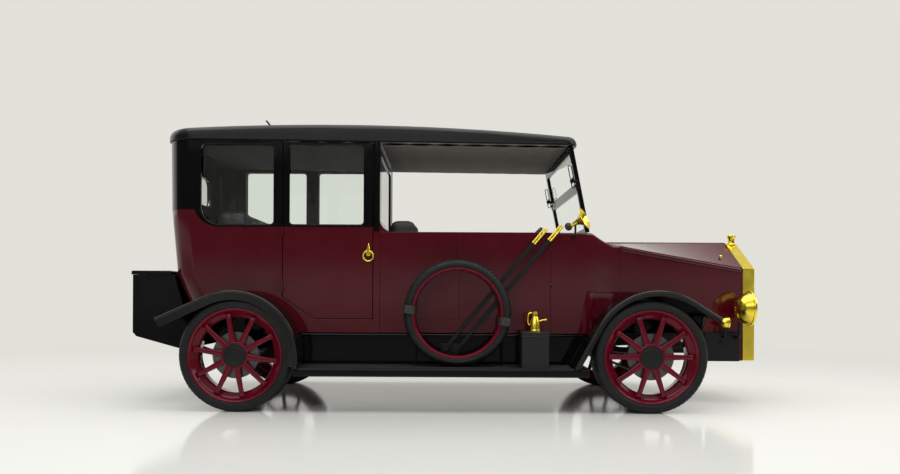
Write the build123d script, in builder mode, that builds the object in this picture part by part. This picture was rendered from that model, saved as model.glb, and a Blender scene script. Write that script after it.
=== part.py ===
"""Enclosed-drive limousine in the style of the 1910s and 1920s, as an assembly of separate pieces.

Millimetres. X points forward, Y to the left, Z up. The origin is on the ground, midway along the car.
"""
import os
from math import atan2, cos, degrees, hypot, pi, radians, sin, sqrt

from build123d import *

os.makedirs("parts", exist_ok=True)

# Wheels and axles, set out from the body's half-width
body_half = 620
wheel_offset = 150
wheelbase = 2670
rear_axle_x = -1366
front_axle_x = rear_axle_x + wheelbase
track = 2 * (body_half + wheel_offset)
tyre_radius = 362
tyre_width = 205
tyre_shoulder = 22
tyre_bulge = 12
fender_cover = 12.5
fender_outer = track / 2 + tyre_width / 2 + fender_cover
rim_lip_radius = 303
rim_lip = 6
rim_width = 190
rim_seat_radius = 290
rim_well_radius = 243
rim_slope = 35
rim_rise = 8
rim_face = 40
spoke_count = 10
spoke_thickness = 22
spoke_inset = 3
spoke_width_rim = 30
spoke_width_hub = 40
hub_radius = 50
hub_flange_radius = 88
hub_cap_radius = 73
hub_cap_rise = 6
hub_cap_taper = 40
hub_inner = 63
spindle_radius = 25
spindle_end = 90
disc_radius = 150
disc_inner = 50
disc_outer = 62
kingpin_radius = 12
kingpin_boss_radius = 28
kingpin_boss_height = 124
fork_thickness = 20
fork_web_inner = 34
fork_half_width = 26
steering_arm = 90
tie_rod_radius = 10
tie_rod_eye_radius = 17
tie_rod_eye_height = 26
axle_beam_height = 60
axle_beam_depth = 52
axle_beam_web = 18
axle_beam_flange = 12
rear_axle_tube = 45
differential_radius = 130
differential_width = 220

# Clearances
running_fit = 0.05
seat_gap = 0.3
panel_gap = 5

# Frame
rail_inner = 320
rail_outer = 380
rail_bottom = 420
rail_top = 500
rail_rear_x = -1815
rail_front_x = 2045
cross_member_width = 60
cross_member_inset = 20
apron_thickness = 10
front_apron_x = (1800, 2044)
front_apron_z = (300, 503)
spring_width = 50
spring_centre = 350
floor_thickness = 25

# Body
body_wall = 40
body_inner = body_half - body_wall
body_bottom = 500
body_back_x = -1913
belt_z = 1178
sill_z = 1219
window_top_z = 1762
roof_back_overhang = 12
roof_rear_x = body_back_x - roof_back_overhang
roof_front_x = 865
cut_reach = 4000
roof_rise = 30
roof_lip_front_z = window_top_z
roof_lip_rear_z = window_top_z + roof_rise
body_front_x = -460
cowl_rear_x = 690
screen_foot_x = 958
screen_top_x = 842
bonnet_rear_x = 1185
radiator_rear_x = 2085
radiator_front_x = 2172

sides = (("right", -1), ("left", 1))


def block(x, y, z, mode=Mode.ADD):
    """A square-edged block between the pairs of limits x, y and z, in the current part."""
    with Locations((x[0], y[0], z[0])):
        Box(x[1] - x[0], y[1] - y[0], z[1] - z[0], align=(Align.MIN, Align.MIN, Align.MIN), mode=mode)


def side_plate(points, y, mode=Mode.ADD):
    """A plate with the side-view outline points (X, Z) between the limits y, in the current part."""
    with BuildSketch(Plane.XZ.offset(-y[1])) as outline:
        Polygon(*points, align=None)
    extrude(outline.sketch, amount=y[1] - y[0], mode=mode)


def rod(start, end, radius, mode=Mode.ADD):
    """A round bar from start to end, in the current part."""
    direction = Vector(*end) - Vector(*start)
    with BuildSketch(Plane(origin=start, z_dir=direction)) as section:
        Circle(radius)
    extrude(section.sketch, amount=direction.length, mode=mode)


def save(builder, name):
    """Label a finished piece and write it as its own file."""
    builder.part.label = name
    export_step(builder.part, f"parts/{name}.step")


# Chassis frame: two channel rails, cross members, body outriggers and the aprons beside the radiator
cross_member_stations = (-1760, -1050, -300, 420, 960, 1990)
outrigger_stations = (-900, -100, 640)
outrigger_depth = 44
board_apron_inset = 30
board_apron_inner = body_half - board_apron_inset
board_apron_outer = board_apron_inner + apron_thickness
tow_hole_x = 1910
tow_hole_z = 440
tow_hole_radius = 10

with BuildPart() as frame_rails:
    for side in (-1, 1):
        rail_limits = sorted((side * rail_inner, side * rail_outer))
        block((rail_rear_x, rail_front_x), rail_limits, (rail_bottom, rail_top))
        apron_limits = sorted((side * rail_outer, side * (rail_outer + apron_thickness)))
        block(front_apron_x, apron_limits, front_apron_z)
        for station in outrigger_stations:
            arm_limits = sorted((side * rail_outer, side * board_apron_inner))
            arm_x = (station - outrigger_depth / 2, station + outrigger_depth / 2)
            block(arm_x, arm_limits, (rail_bottom + cross_member_inset, body_bottom - cross_member_inset))
    hole_y = rail_outer + apron_thickness
    rod((tow_hole_x, -hole_y, tow_hole_z), (tow_hole_x, hole_y, tow_hole_z), tow_hole_radius, Mode.SUBTRACT)
save(frame_rails, "frame_rails")

with BuildPart() as cross_members:
    for station in cross_member_stations:
        member_x = (station - cross_member_width / 2, station + cross_member_width / 2)
        member_z = (rail_bottom + cross_member_inset, rail_top - cross_member_inset)
        block(member_x, (-rail_inner, rail_inner), member_z)
save(cross_members, "cross_members")

# Leaf springs: an arched pack under each end of the frame, seated on the front beam and under the rear axle
front_beam_bottom = tyre_radius - kingpin_boss_height / 2
front_beam_top = front_beam_bottom + axle_beam_height
spring_rows = (
    # axle x, half length, top at the middle, thickness at the middle, thickness at the ends
    (front_axle_x, 450, front_beam_top + 32, 32, 16),
    (rear_axle_x, 440, tyre_radius - rear_axle_tube, 36, 18),
)

with BuildPart() as leaf_springs:
    for axle_x, half, middle_top, middle_thickness, end_thickness in spring_rows:
        for side in (-1, 1):
            plane = Plane.XZ.offset(-side * spring_centre - spring_width / 2)
            with BuildSketch(plane):
                with BuildLine():
                    rear_top = (axle_x - half, rail_bottom)
                    front_top = (axle_x + half, rail_bottom)
                    rear_low = (axle_x - half, rail_bottom - end_thickness)
                    front_low = (axle_x + half, rail_bottom - end_thickness)
                    ThreePointArc(rear_top, (axle_x, middle_top), front_top)
                    Line(front_top, front_low)
                    ThreePointArc(front_low, (axle_x, middle_top - middle_thickness), rear_low)
                    Line(rear_low, rear_top)
                make_face()
            extrude(amount=spring_width)
save(leaf_springs, "leaf_springs")

# Front axle: a forged I-section beam with a boss for the kingpin at each end
kingpin_y = track / 2

with BuildPart() as front_axle:
    half_depth = axle_beam_depth / 2
    beam_x = (front_axle_x - half_depth, front_axle_x + half_depth)
    beam_y = (-kingpin_y, kingpin_y)
    block(beam_x, beam_y, (front_beam_bottom, front_beam_top))
    recess_z = (front_beam_bottom + axle_beam_flange, front_beam_top - axle_beam_flange)
    recess_y = (-kingpin_y + 2 * kingpin_boss_radius, kingpin_y - 2 * kingpin_boss_radius)
    for end in (-1, 1):
        recess_x = sorted((front_axle_x + end * axle_beam_web / 2, front_axle_x + end * half_depth))
        block(recess_x, recess_y, recess_z, mode=Mode.SUBTRACT)
    for side in (-1, 1):
        with Locations((front_axle_x, side * kingpin_y, tyre_radius)):
            Cylinder(kingpin_boss_radius, kingpin_boss_height)
            Cylinder(kingpin_radius + running_fit, kingpin_boss_height, mode=Mode.SUBTRACT)
save(front_axle, "front_axle")

# Steering knuckles: a fork round the axle boss with its kingpin, the brake disc, the spindle and the arm
fork_inner = kingpin_boss_height / 2 + seat_gap
fork_outer = fork_inner + fork_thickness


def knuckle(side):
    """The knuckle of one side, around its kingpin."""
    pin = (front_axle_x, side * kingpin_y, tyre_radius)
    with BuildPart() as piece:
        for level in (-1, 1):
            arm_z = tyre_radius + level * (fork_inner + fork_outer) / 2
            with BuildSketch(Plane.XY.offset(arm_z - fork_thickness / 2)) as arm:
                with Locations((front_axle_x, side * kingpin_y)):
                    Circle(fork_half_width)
                with Locations((front_axle_x, side * (kingpin_y + disc_inner / 2))):
                    Rectangle(2 * fork_half_width, disc_inner)
            extrude(arm.sketch, amount=fork_thickness)
        web_y = sorted((side * (kingpin_y + fork_web_inner), side * (kingpin_y + disc_inner)))
        web_x = (front_axle_x - fork_half_width, front_axle_x + fork_half_width)
        block(web_x, web_y, (tyre_radius - fork_outer, tyre_radius + fork_outer))
        with Locations(pin):
            Cylinder(kingpin_radius, 2 * fork_outer)
        arm_z = (tyre_radius - fork_outer, tyre_radius - fork_inner)
        arm_x = (front_axle_x - steering_arm, front_axle_x)
        arm_y = (side * kingpin_y - fork_half_width / 2, side * kingpin_y + fork_half_width / 2)
        block(arm_x, arm_y, arm_z)
        with Locations((front_axle_x - steering_arm, side * kingpin_y, sum(arm_z) / 2)):
            Cylinder(tie_rod_eye_radius, fork_thickness)
        hub_plane = Plane(origin=pin, x_dir=(1, 0, 0), z_dir=(0, side, 0))
        with BuildSketch(hub_plane.offset(disc_inner)) as disc:
            Circle(disc_radius)
        extrude(disc.sketch, amount=disc_outer - disc_inner)
        with BuildSketch(hub_plane.offset(disc_inner)) as spindle:
            Circle(spindle_radius)
        extrude(spindle.sketch, amount=spindle_end - disc_inner)
    return piece


for side_name, side in sides:
    save(knuckle(side), f"knuckle_{side_name}")

# Tie rod: joins the two steering arms, just under their eyes
tie_rod_x = front_axle_x - steering_arm
tie_rod_top = tyre_radius - fork_outer - seat_gap
tie_rod_z = tie_rod_top - tie_rod_eye_height / 2

with BuildPart() as tie_rod:
    rod((tie_rod_x, -kingpin_y, tie_rod_z), (tie_rod_x, kingpin_y, tie_rod_z), tie_rod_radius)
    with Locations(*[(tie_rod_x, side * kingpin_y, tie_rod_z) for side in (-1, 1)]):
        Cylinder(tie_rod_eye_radius, tie_rod_eye_height)
save(tie_rod, "tie_rod")

# Rear axle: a tube with the differential casing, the brake discs and the spindles
with BuildPart() as rear_axle:
    tube_end = kingpin_y + disc_inner
    centre_z = tyre_radius
    rod((rear_axle_x, -tube_end, centre_z), (rear_axle_x, tube_end, centre_z), rear_axle_tube)
    for side in (-1, 1):
        hub_plane = Plane((rear_axle_x, side * kingpin_y, centre_z), x_dir=(1, 0, 0), z_dir=(0, side, 0))
        with BuildSketch(hub_plane.offset(disc_inner)) as disc:
            Circle(disc_radius)
        extrude(disc.sketch, amount=disc_outer - disc_inner)
        with BuildSketch(hub_plane.offset(disc_outer)) as spindle:
            Circle(spindle_radius)
        extrude(spindle.sketch, amount=spindle_end - disc_outer)
    casing_half = differential_width / 2
    with BuildSketch(Plane.YZ.offset(rear_axle_x)) as casing:
        with BuildLine():
            low = centre_z + rear_axle_tube - 5
            Polyline((-casing_half, centre_z), (-casing_half, low))
            ThreePointArc((-casing_half, low), (0, centre_z + differential_radius), (casing_half, low))
            Polyline((casing_half, low), (casing_half, centre_z), (-casing_half, centre_z))
        make_face()
    revolve(casing.sketch, axis=Axis((rear_axle_x, 0, centre_z), (0, 1, 0)))
save(rear_axle, "rear_axle")

# Wheels and tyres: ten tapered spokes from a flanged hub to a deep rim, and a low broad tyre on the seat
wheel_rows = (
    # name, axle x, side, angle of the first spoke
    ("front_right", front_axle_x, -1, 0),
    ("front_left", front_axle_x, 1, 0),
    ("rear_right", rear_axle_x, -1, 8),
    ("rear_left", rear_axle_x, 1, 8),
)
rim_half = rim_width / 2
tyre_half = tyre_width / 2


def hub_frame(axle_x, side):
    """Plane at a wheel's centre: x runs outwards along the axle, y runs up."""
    origin = (axle_x, side * track / 2, tyre_radius)
    return Plane(origin=origin, x_dir=(0, side, 0), z_dir=(side, 0, 0))


for wheel_name, axle_x, side, first_spoke in wheel_rows:
    wheel_axis = Axis((axle_x, side * track / 2, tyre_radius), (0, 1, 0))
    with BuildPart() as tyre:
        with BuildSketch(hub_frame(axle_x, side)) as section:
            bead = rim_half - rim_lip - seat_gap
            seat = rim_seat_radius + seat_gap
            over_lip = rim_lip_radius + seat_gap
            Polygon(
                (-bead, seat), (bead, seat), (bead, over_lip), (tyre_half, over_lip + tyre_bulge),
                (tyre_half, tyre_radius), (-tyre_half, tyre_radius), (-tyre_half, over_lip + tyre_bulge),
                (-bead, over_lip), align=None,
            )
            fillet(section.vertices().group_by(Axis.Y)[-1], tyre_shoulder)
        revolve(axis=wheel_axis)
    save(tyre, f"tyre_{wheel_name}")

    with BuildPart() as wheel:
        with BuildSketch(hub_frame(axle_x, side)):
            Polygon(
                (rim_half, rim_lip_radius), (rim_half - rim_lip, rim_lip_radius),
                (rim_half - rim_lip, rim_seat_radius), (-rim_half + rim_lip, rim_seat_radius),
                (-rim_half + rim_lip, rim_lip_radius), (-rim_half, rim_lip_radius),
                (-rim_half, rim_seat_radius - rim_lip), (-rim_half + rim_slope, rim_well_radius + rim_rise),
                (rim_half - rim_face, rim_well_radius), (rim_half - rim_face / 2, rim_well_radius),
                (rim_half, rim_lip_radius - rim_lip), align=None,
            )
        revolve(axis=wheel_axis)
        spoke_inner = rim_half - spoke_inset - spoke_thickness
        disc_plane = Plane((axle_x, side * track / 2, tyre_radius), x_dir=(1, 0, 0), z_dir=(0, side, 0))
        with BuildSketch(disc_plane.offset(spoke_inner)):
            with PolarLocations(0, spoke_count, start_angle=first_spoke):
                Polygon(
                    (hub_radius, -spoke_width_hub / 2), (rim_well_radius + 6, -spoke_width_rim / 2),
                    (rim_well_radius + 6, spoke_width_rim / 2), (hub_radius, spoke_width_hub / 2), align=None,
                )
        extrude(amount=spoke_thickness)
        with BuildSketch(disc_plane.offset(hub_inner)):
            Circle(hub_radius)
        extrude(amount=rim_half - hub_inner)
        with BuildSketch(disc_plane.offset(spoke_inner)):
            Circle(hub_flange_radius)
        extrude(amount=spoke_thickness + spoke_inset)
        with BuildSketch(disc_plane.offset(rim_half)):
            Circle(hub_cap_radius)
        extrude(amount=hub_cap_rise, taper=hub_cap_taper)
        with BuildSketch(disc_plane.offset(hub_inner)):
            Circle(spindle_radius + running_fit)
        extrude(amount=spindle_end + 1 - hub_inner, mode=Mode.SUBTRACT)
    save(wheel, f"wheel_{wheel_name}")

# Engine: one plain block on the frame, under the bonnet
engine_x = (1300, 1940)
sump_inset = 60
sump_depth = 70
engine_half = 200
engine_top = 1000

with BuildPart() as engine_block:
    block(engine_x, (-engine_half, engine_half), (rail_top, engine_top))
    sump_x = (engine_x[0] + sump_inset, engine_x[1] - sump_inset)
    block(sump_x, (-rail_inner, rail_inner), (rail_top - sump_depth, rail_top))
save(engine_block, "engine_block")

# Rear body: a closed tub with a curved back, cut for the doors, the quarter windows and the rear window
back_tuck = 213
back_turn_z = 755
back_turn_tuck = 103
back_waist_z = 890
back_waist_tuck = 48
back_upper_z = 1325
back_upper_tuck = 7
body_top_z = roof_lip_rear_z + 8
body_sections = (
    # height, x of the back panel
    (body_bottom, body_back_x + back_tuck),
    (back_turn_z, body_back_x + back_turn_tuck),
    (back_waist_z, body_back_x + back_waist_tuck),
    (back_upper_z, body_back_x + back_upper_tuck),
    (body_top_z, body_back_x),
)
back_corner = 180
door_rear_x = -1115
door_front_x = -504
door_bottom = 590
door_cut_x = -900
door_cut_z = 735
door_window_x = (-1073, -564)
quarter_window_x = (-1668, -1169)
quarter_corner = 130
window_corner = 30
rear_window_half = 300
rear_window_corner = 60
rear_window_z = (1434, 1644)
above_roof = window_top_z + 238


def roof_line(x):
    """Height of the roof's lower edge at x."""
    share = (x - roof_rear_x) / (roof_front_x - roof_rear_x)
    return roof_lip_rear_z + share * (roof_lip_front_z - roof_lip_rear_z)


def cut_at_roof(half_width):
    """Cut what stands above the roof's lower face from the current part."""
    with BuildSketch(Plane.XZ.offset(-half_width)) as above:
        Polygon(
            (roof_rear_x, roof_line(roof_rear_x)), (roof_front_x, roof_line(roof_front_x)),
            (roof_front_x, above_roof), (roof_rear_x, above_roof), align=None,
        )
    extrude(above.sketch, amount=2 * half_width, mode=Mode.SUBTRACT)


def body_plan(z, back_x, inset):
    """Plan of the tub at one height, inset from the outer face."""
    half = body_half - inset
    with BuildSketch(Plane.XY.offset(z)) as plan:
        Polygon(
            (back_x + inset, -half), (body_front_x, -half), (body_front_x, half), (back_x + inset, half),
            align=None,
        )
        fillet(plan.vertices().group_by(Axis.X)[0], back_corner - inset)
    return plan.sketch


def quarter_window(inset):
    """Outline of the quarter window, well rounded at its lower rear corner."""
    with BuildSketch(Plane.XZ) as window:
        left = quarter_window_x[0] + inset
        right = quarter_window_x[1] - inset
        Polygon(
            (left, sill_z + inset), (right, sill_z + inset), (right, window_top_z - inset),
            (left, window_top_z - inset), align=None,
        )
        corners = window.vertices().sort_by(lambda vertex: vertex.X + vertex.Y)
        fillet(corners[0], quarter_corner - inset)
        fillet(window.vertices().sort_by(lambda vertex: vertex.X + vertex.Y)[2:], window_corner - inset)
    return window.sketch


def rear_window(inset):
    """Outline of the rear window, across the car."""
    with BuildSketch(Plane.YZ) as window:
        height = rear_window_z[1] - rear_window_z[0]
        with Locations((0, sum(rear_window_z) / 2)):
            RectangleRounded(2 * (rear_window_half - inset), height - 2 * inset, rear_window_corner - inset)
    return window.sketch


with BuildPart() as rear_body:
    loft([body_plan(z, back_x, 0) for z, back_x in body_sections], ruled=True)
    loft([body_plan(z, back_x, body_wall) for z, back_x in body_sections], ruled=True, mode=Mode.SUBTRACT)
    side_plate(
        (
            (door_rear_x, door_cut_z), (door_cut_x, door_bottom), (door_front_x, door_bottom),
            (door_front_x, above_roof), (door_rear_x, above_roof),
        ),
        (-2 * body_half, 2 * body_half), mode=Mode.SUBTRACT,
    )
    extrude(quarter_window(0), amount=2 * body_half, both=True, mode=Mode.SUBTRACT)
    extrude(rear_window(0), amount=2 * roof_rear_x, mode=Mode.SUBTRACT)
    cut_at_roof(2 * body_half)
save(rear_body, "rear_body")

# Partition behind the driver: a panel with a wide window, between the door posts
partition_x = (-488, -463)
partition_post = 110
partition_window_half = body_inner - partition_post
partition_rail = 46
partition_window_z = (1260, window_top_z - partition_rail)
floor_top = rail_top + floor_thickness

with BuildPart() as partition:
    block(partition_x, (-body_inner, body_inner), (floor_top, above_roof))
    with BuildSketch(Plane.YZ.offset(partition_x[0])):
        with Locations((0, sum(partition_window_z) / 2)):
            window_height = partition_window_z[1] - partition_window_z[0]
            RectangleRounded(2 * partition_window_half, window_height, window_corner)
    extrude(amount=partition_x[1] - partition_x[0], mode=Mode.SUBTRACT)
    cut_at_roof(2 * body_half)
save(partition, "partition")

# Fixed glass: the two quarter panes, the rear pane and the partition pane, each in the middle of its wall
glass_thickness = 6

with BuildPart() as body_glass:
    for side in (-1, 1):
        pane_y = side * (body_half - body_wall / 2)
        pane = quarter_window(0.2).moved(Location((0, pane_y + glass_thickness / 2, 0)))
        extrude(pane, amount=glass_thickness)
    back_x = body_sections[-1][1] + body_wall / 2
    extrude(rear_window(0.2).moved(Location((back_x, 0, 0))), amount=glass_thickness)
    with BuildSketch(Plane.YZ.offset(sum(partition_x) / 2 - glass_thickness / 2)):
        with Locations((0, sum(partition_window_z) / 2)):
            RectangleRounded(2 * partition_window_half, window_height, window_corner)
    extrude(amount=glass_thickness)
save(body_glass, "body_glass")

# Roof: a shallow padded-edge lid over both compartments, higher over the rear seats than over the driver
roof_side_overhang = 15
roof_half = body_half + roof_side_overhang
roof_crest_x = -1050
roof_crest_z = roof_lip_front_z + 138
roof_rear_z = roof_lip_rear_z + 74
roof_front_z = roof_lip_front_z + 60
roof_edge = 55
roof_back_corner = 195
roof_front_corner = 70

with BuildPart() as roof:
    with BuildSketch(Plane.XY.offset(roof_lip_front_z - panel_gap)) as roof_plan:
        Polygon(
            (roof_rear_x, -roof_half), (roof_front_x, -roof_half), (roof_front_x, roof_half),
            (roof_rear_x, roof_half), align=None,
        )
        fillet(roof_plan.vertices().group_by(Axis.X)[0], roof_back_corner)
        fillet(roof_plan.vertices().group_by(Axis.X)[-1], roof_front_corner)
    extrude(amount=above_roof - roof_lip_front_z)
    with BuildSketch(Plane.XZ.offset(-roof_half)) as roof_side:
        with BuildLine():
            rear_low = (roof_rear_x, roof_line(roof_rear_x))
            front_low = (roof_front_x, roof_line(roof_front_x))
            rear_high = (roof_rear_x, roof_rear_z)
            front_high = (roof_front_x, roof_front_z)
            Polyline(rear_high, rear_low, front_low, front_high)
            ThreePointArc(front_high, (roof_crest_x, roof_crest_z), rear_high)
        make_face()
    extrude(amount=2 * roof_half, mode=Mode.INTERSECT)
    fillet(roof.faces().sort_by(Axis.Z)[-1].outer_wire().edges(), roof_edge)
save(roof, "roof")

# Door and lid hinges: a pin with two outer barrels on the fixed side, one barrel between them on the door
hinge_radius = 8
hinge_pin_radius = 4
hinge_offset = 9
hinge_height = 40
hinge_leaf = 30
hinge_leaf_thickness = 5
rear_door_hinge_z = (820, 1190, 1640)
front_door_hinge_z = (690, 1070)
front_door_x = (73, 683)
front_door_bottom = 582


def hinge_post(x, side, z, leaf_direction, fixed):
    """One half of a hinge at height z in the current part: the fixed half holds the pin."""
    y = side * (body_half + hinge_offset)
    leaf_y = sorted((side * body_half, side * (body_half + hinge_leaf_thickness)))
    leaf_x = sorted((x, x + leaf_direction * hinge_leaf))
    barrel = hinge_height / 2
    if fixed:
        for level in (-1, 1):
            spot = (x, y, z + level * (barrel + barrel / 2 + seat_gap))
            with Locations(spot):
                Cylinder(hinge_radius, barrel)
            leaf_z = (spot[2] - barrel / 2, spot[2] + barrel / 2)
            block(leaf_x, leaf_y, leaf_z)
        with Locations((x, y, z)):
            Cylinder(hinge_pin_radius, 4 * barrel)
    else:
        with Locations((x, y, z)):
            Cylinder(hinge_radius, hinge_height)
        block(leaf_x, leaf_y, (z - barrel, z + barrel))
        with Locations((x, y, z)):
            Cylinder(hinge_pin_radius + running_fit, hinge_height, mode=Mode.SUBTRACT)


with BuildPart() as door_hinges:
    for side_name, side in sides:
        for z in rear_door_hinge_z:
            hinge_post(door_rear_x, side, z, -1, True)
    for z in front_door_hinge_z:
        hinge_post(front_door_x[1], 1, z, 1, True)
save(door_hinges, "door_hinges")

# Rear doors: as thick as the wall, hung at their rear edge, with a window and a slanted foot over the fender
door_slope = atan2(door_cut_z - door_bottom, door_cut_x - door_rear_x)
door_top_gap = 6


def rear_door_outline():
    """Side-view outline of a rear door, a shut line smaller than its opening."""
    foot = panel_gap / cos(door_slope)
    rear = door_rear_x + panel_gap
    front = door_front_x - panel_gap
    bottom = door_bottom + panel_gap
    slope = (door_cut_z - door_bottom) / (door_cut_x - door_rear_x)
    rear_z = door_cut_z + foot - slope * panel_gap
    cut_x = rear + (rear_z - bottom) / slope
    rear_top = roof_line(rear) - door_top_gap
    front_top = roof_line(front) - door_top_gap
    return (rear, rear_z), (cut_x, bottom), (front, bottom), (front, front_top), (rear, rear_top)


def door_window(inset):
    """Outline of a rear door's window."""
    with BuildSketch(Plane.XZ) as window:
        width = door_window_x[1] - door_window_x[0]
        height = window_top_z - sill_z
        with Locations((sum(door_window_x) / 2, (sill_z + window_top_z) / 2)):
            RectangleRounded(width - 2 * inset, height - 2 * inset, window_corner - inset)
    return window.sketch


for side_name, side in sides:
    with BuildPart() as rear_door:
        side_plate(rear_door_outline(), sorted((side * body_inner, side * body_half)))
        extrude(door_window(0), amount=2 * body_half, both=True, mode=Mode.SUBTRACT)
        for z in rear_door_hinge_z:
            hinge_post(door_rear_x, side, z, 1, False)
    save(rear_door, f"rear_door_{side_name}")

    with BuildPart() as rear_door_glass:
        pane_y = side * (body_half - body_wall / 2) + glass_thickness / 2
        extrude(door_window(0.2).moved(Location((0, pane_y, 0))), amount=glass_thickness)
    save(rear_door_glass, f"rear_door_glass_{side_name}")

# Front sides: the walls beside the driver up to the belt, whole on the right and open for a door on the left
with BuildPart() as front_sides:
    block((body_front_x, cowl_rear_x), (-body_half, -body_inner), (body_bottom, belt_z))
    side_plate(
        (
            (body_front_x, body_bottom), (cowl_rear_x, body_bottom), (cowl_rear_x, belt_z),
            (front_door_x[1], belt_z), (front_door_x[1], front_door_bottom),
            (front_door_x[0], front_door_bottom), (front_door_x[0], belt_z), (body_front_x, belt_z),
        ),
        (body_inner, body_half),
    )
save(front_sides, "front_sides")

with BuildPart() as front_door_left:
    door_x = (front_door_x[0] + panel_gap, front_door_x[1] - panel_gap)
    block(door_x, (body_inner, body_half), (front_door_bottom + panel_gap, belt_z))
    for z in front_door_hinge_z:
        hinge_post(front_door_x[1], 1, z, -1, False)
save(front_door_left, "front_door_left")

# Floor: boards on the rails from the back seat to the scuttle
floor_rear_x = -1520
bulkhead_x = 1150

with BuildPart() as floor_boards:
    block((floor_rear_x, screen_foot_x), (-body_inner, body_inner), (rail_top, floor_top))
    block((screen_foot_x, bulkhead_x), (-rail_outer, rail_outer), (rail_top, floor_top))
save(floor_boards, "floor_boards")

# Cowl: the body's front end, drawn in from the windscreen to the bonnet, with the dash and the bulkhead
scuttle_bottom_rear = 530
scuttle_bottom_front = 620
bonnet_inset = 140
bonnet_rear_half = body_half - bonnet_inset
bonnet_rear_shoulder = 1097
bonnet_ridge_z = 1150
cowl_sheet = 40
cowl_crown = 1
dash_x = (850, 862)
dash_bottom = 950


def cowl_section(x, half, bottom, shoulder, ridge):
    """Cross-section of the cowl: upright sides under a low pitched top."""
    with BuildSketch(Plane.YZ.offset(x)) as section:
        Polygon((-half, bottom), (half, bottom), (half, shoulder), (0, ridge), (-half, shoulder), align=None)
    return section.sketch


with BuildPart() as cowl:
    inner_y = (-body_inner, body_inner)
    inner_belt = belt_z - cowl_sheet
    inner_half = bonnet_rear_half - cowl_sheet
    inner_shoulder = bonnet_rear_shoulder - cowl_sheet
    inner_ridge = bonnet_ridge_z - cowl_sheet
    block((cowl_rear_x, screen_foot_x), (-body_half, body_half), (body_bottom, belt_z))
    rear = cowl_section(screen_foot_x, body_half, scuttle_bottom_rear, belt_z, belt_z + cowl_crown)
    front = cowl_section(
        bonnet_rear_x, bonnet_rear_half, scuttle_bottom_front, bonnet_rear_shoulder, bonnet_ridge_z
    )
    loft([rear, front], ruled=True)
    block((cowl_rear_x, screen_foot_x), inner_y, (body_bottom, inner_belt), Mode.SUBTRACT)
    inner_rear = cowl_section(screen_foot_x, body_inner, body_bottom, inner_belt, inner_belt + cowl_crown)
    inner_front = cowl_section(bulkhead_x, inner_half, body_bottom, inner_shoulder, inner_ridge)
    loft([inner_rear, inner_front], ruled=True, mode=Mode.SUBTRACT)
    block((cowl_rear_x, dash_x[0]), inner_y, (dash_bottom, above_roof), Mode.SUBTRACT)
    block(dash_x, inner_y, (dash_bottom, inner_belt))
    block((bulkhead_x, bonnet_rear_x), (-rail_outer, rail_outer), (rail_top, inner_shoulder))
save(cowl, "cowl")

# Radiator: a pitched shell of sheet brass round an upright-finned core, with a screwed filler cap
radiator_half = 340
radiator_bottom = 300
radiator_shoulder = 955
radiator_apex = 1148
radiator_rim = 46
radiator_lip = 14
core_x = (2105, 2148)
fin_count = 19
fin_depth = 10
cap_height = 68
cap_radius = 32
cap_edge = 12
cap_neck_radius = 22


def house(x, inset):
    """The radiator's front outline: upright sides under a pitched top."""
    pitch = atan2(radiator_apex - radiator_shoulder, radiator_half)
    half = radiator_half - inset
    apex = radiator_apex - inset / cos(pitch)
    shoulder = apex - half * (radiator_apex - radiator_shoulder) / radiator_half
    bottom = radiator_bottom + inset
    with BuildSketch(Plane.YZ.offset(x)) as outline:
        Polygon((-half, bottom), (half, bottom), (half, shoulder), (0, apex), (-half, shoulder), align=None)
    return outline.sketch


with BuildPart() as radiator_shell:
    extrude(house(radiator_rear_x, 0), amount=radiator_front_x - radiator_rear_x)
    front_edges = radiator_shell.faces().sort_by(Axis.X)[-1].outer_wire().edges()
    fillet(front_edges, radiator_lip)
    hollow = house(radiator_rear_x, radiator_rim)
    extrude(hollow, amount=radiator_front_x - radiator_rear_x, mode=Mode.SUBTRACT)
save(radiator_shell, "radiator_shell")

with BuildPart() as radiator_core:
    extrude(house(core_x[0], radiator_rim), amount=core_x[1] - core_x[0])
    fin_pitch = 2 * (radiator_half - radiator_rim) / fin_count
    for fin in range(fin_count):
        groove_y = -radiator_half + radiator_rim + (fin + 0.5) * fin_pitch
        groove = (groove_y - fin_pitch / 4, groove_y + fin_pitch / 4)
        groove_x = (core_x[1] - fin_depth, core_x[1])
        block(groove_x, groove, (radiator_bottom, above_roof), mode=Mode.SUBTRACT)
save(radiator_core, "radiator_core")

with BuildPart() as radiator_cap:
    cap_x = (radiator_rear_x + radiator_front_x) / 2
    cap_base = radiator_apex - cap_radius * (radiator_apex - radiator_shoulder) / radiator_half
    cap_seat = radiator_apex + cap_height * 0.35
    with Locations((cap_x, 0, cap_base)):
        Cylinder(cap_neck_radius, cap_seat - cap_base, align=(Align.CENTER, Align.CENTER, Align.MIN))
    extrude(house(radiator_rear_x, 0), amount=radiator_front_x - radiator_rear_x, mode=Mode.SUBTRACT)
    with BuildSketch(Plane.XY.offset(cap_seat)):
        with Locations((cap_x, 0)):
            RegularPolygon(cap_radius, 8)
    extrude(amount=radiator_apex + cap_height - cap_seat)
    fillet(radiator_cap.faces().sort_by(Axis.Z)[-1].edges(), cap_edge)
save(radiator_cap, "radiator_cap")

# Bonnet: fixed sides, and two lids hung on a rod along the ridge
bonnet_front_inset = 5
bonnet_front_half = radiator_half - bonnet_front_inset
bonnet_front_shoulder = radiator_shoulder
bonnet_sheet = 12
bonnet_side_bottom = 595
bonnet_strip = 34
ridge_rod_radius = 6
ridge_barrel_radius = 11
ridge_rod_drop = 3
ridge_rod_z = bonnet_ridge_z - ridge_rod_drop
lid_segments = 6
lid_inner = 16
lid_thickness = 6
lid_edge = 8
lid_leaf_drop = 1
lid_leaf_lap = 3


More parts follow.
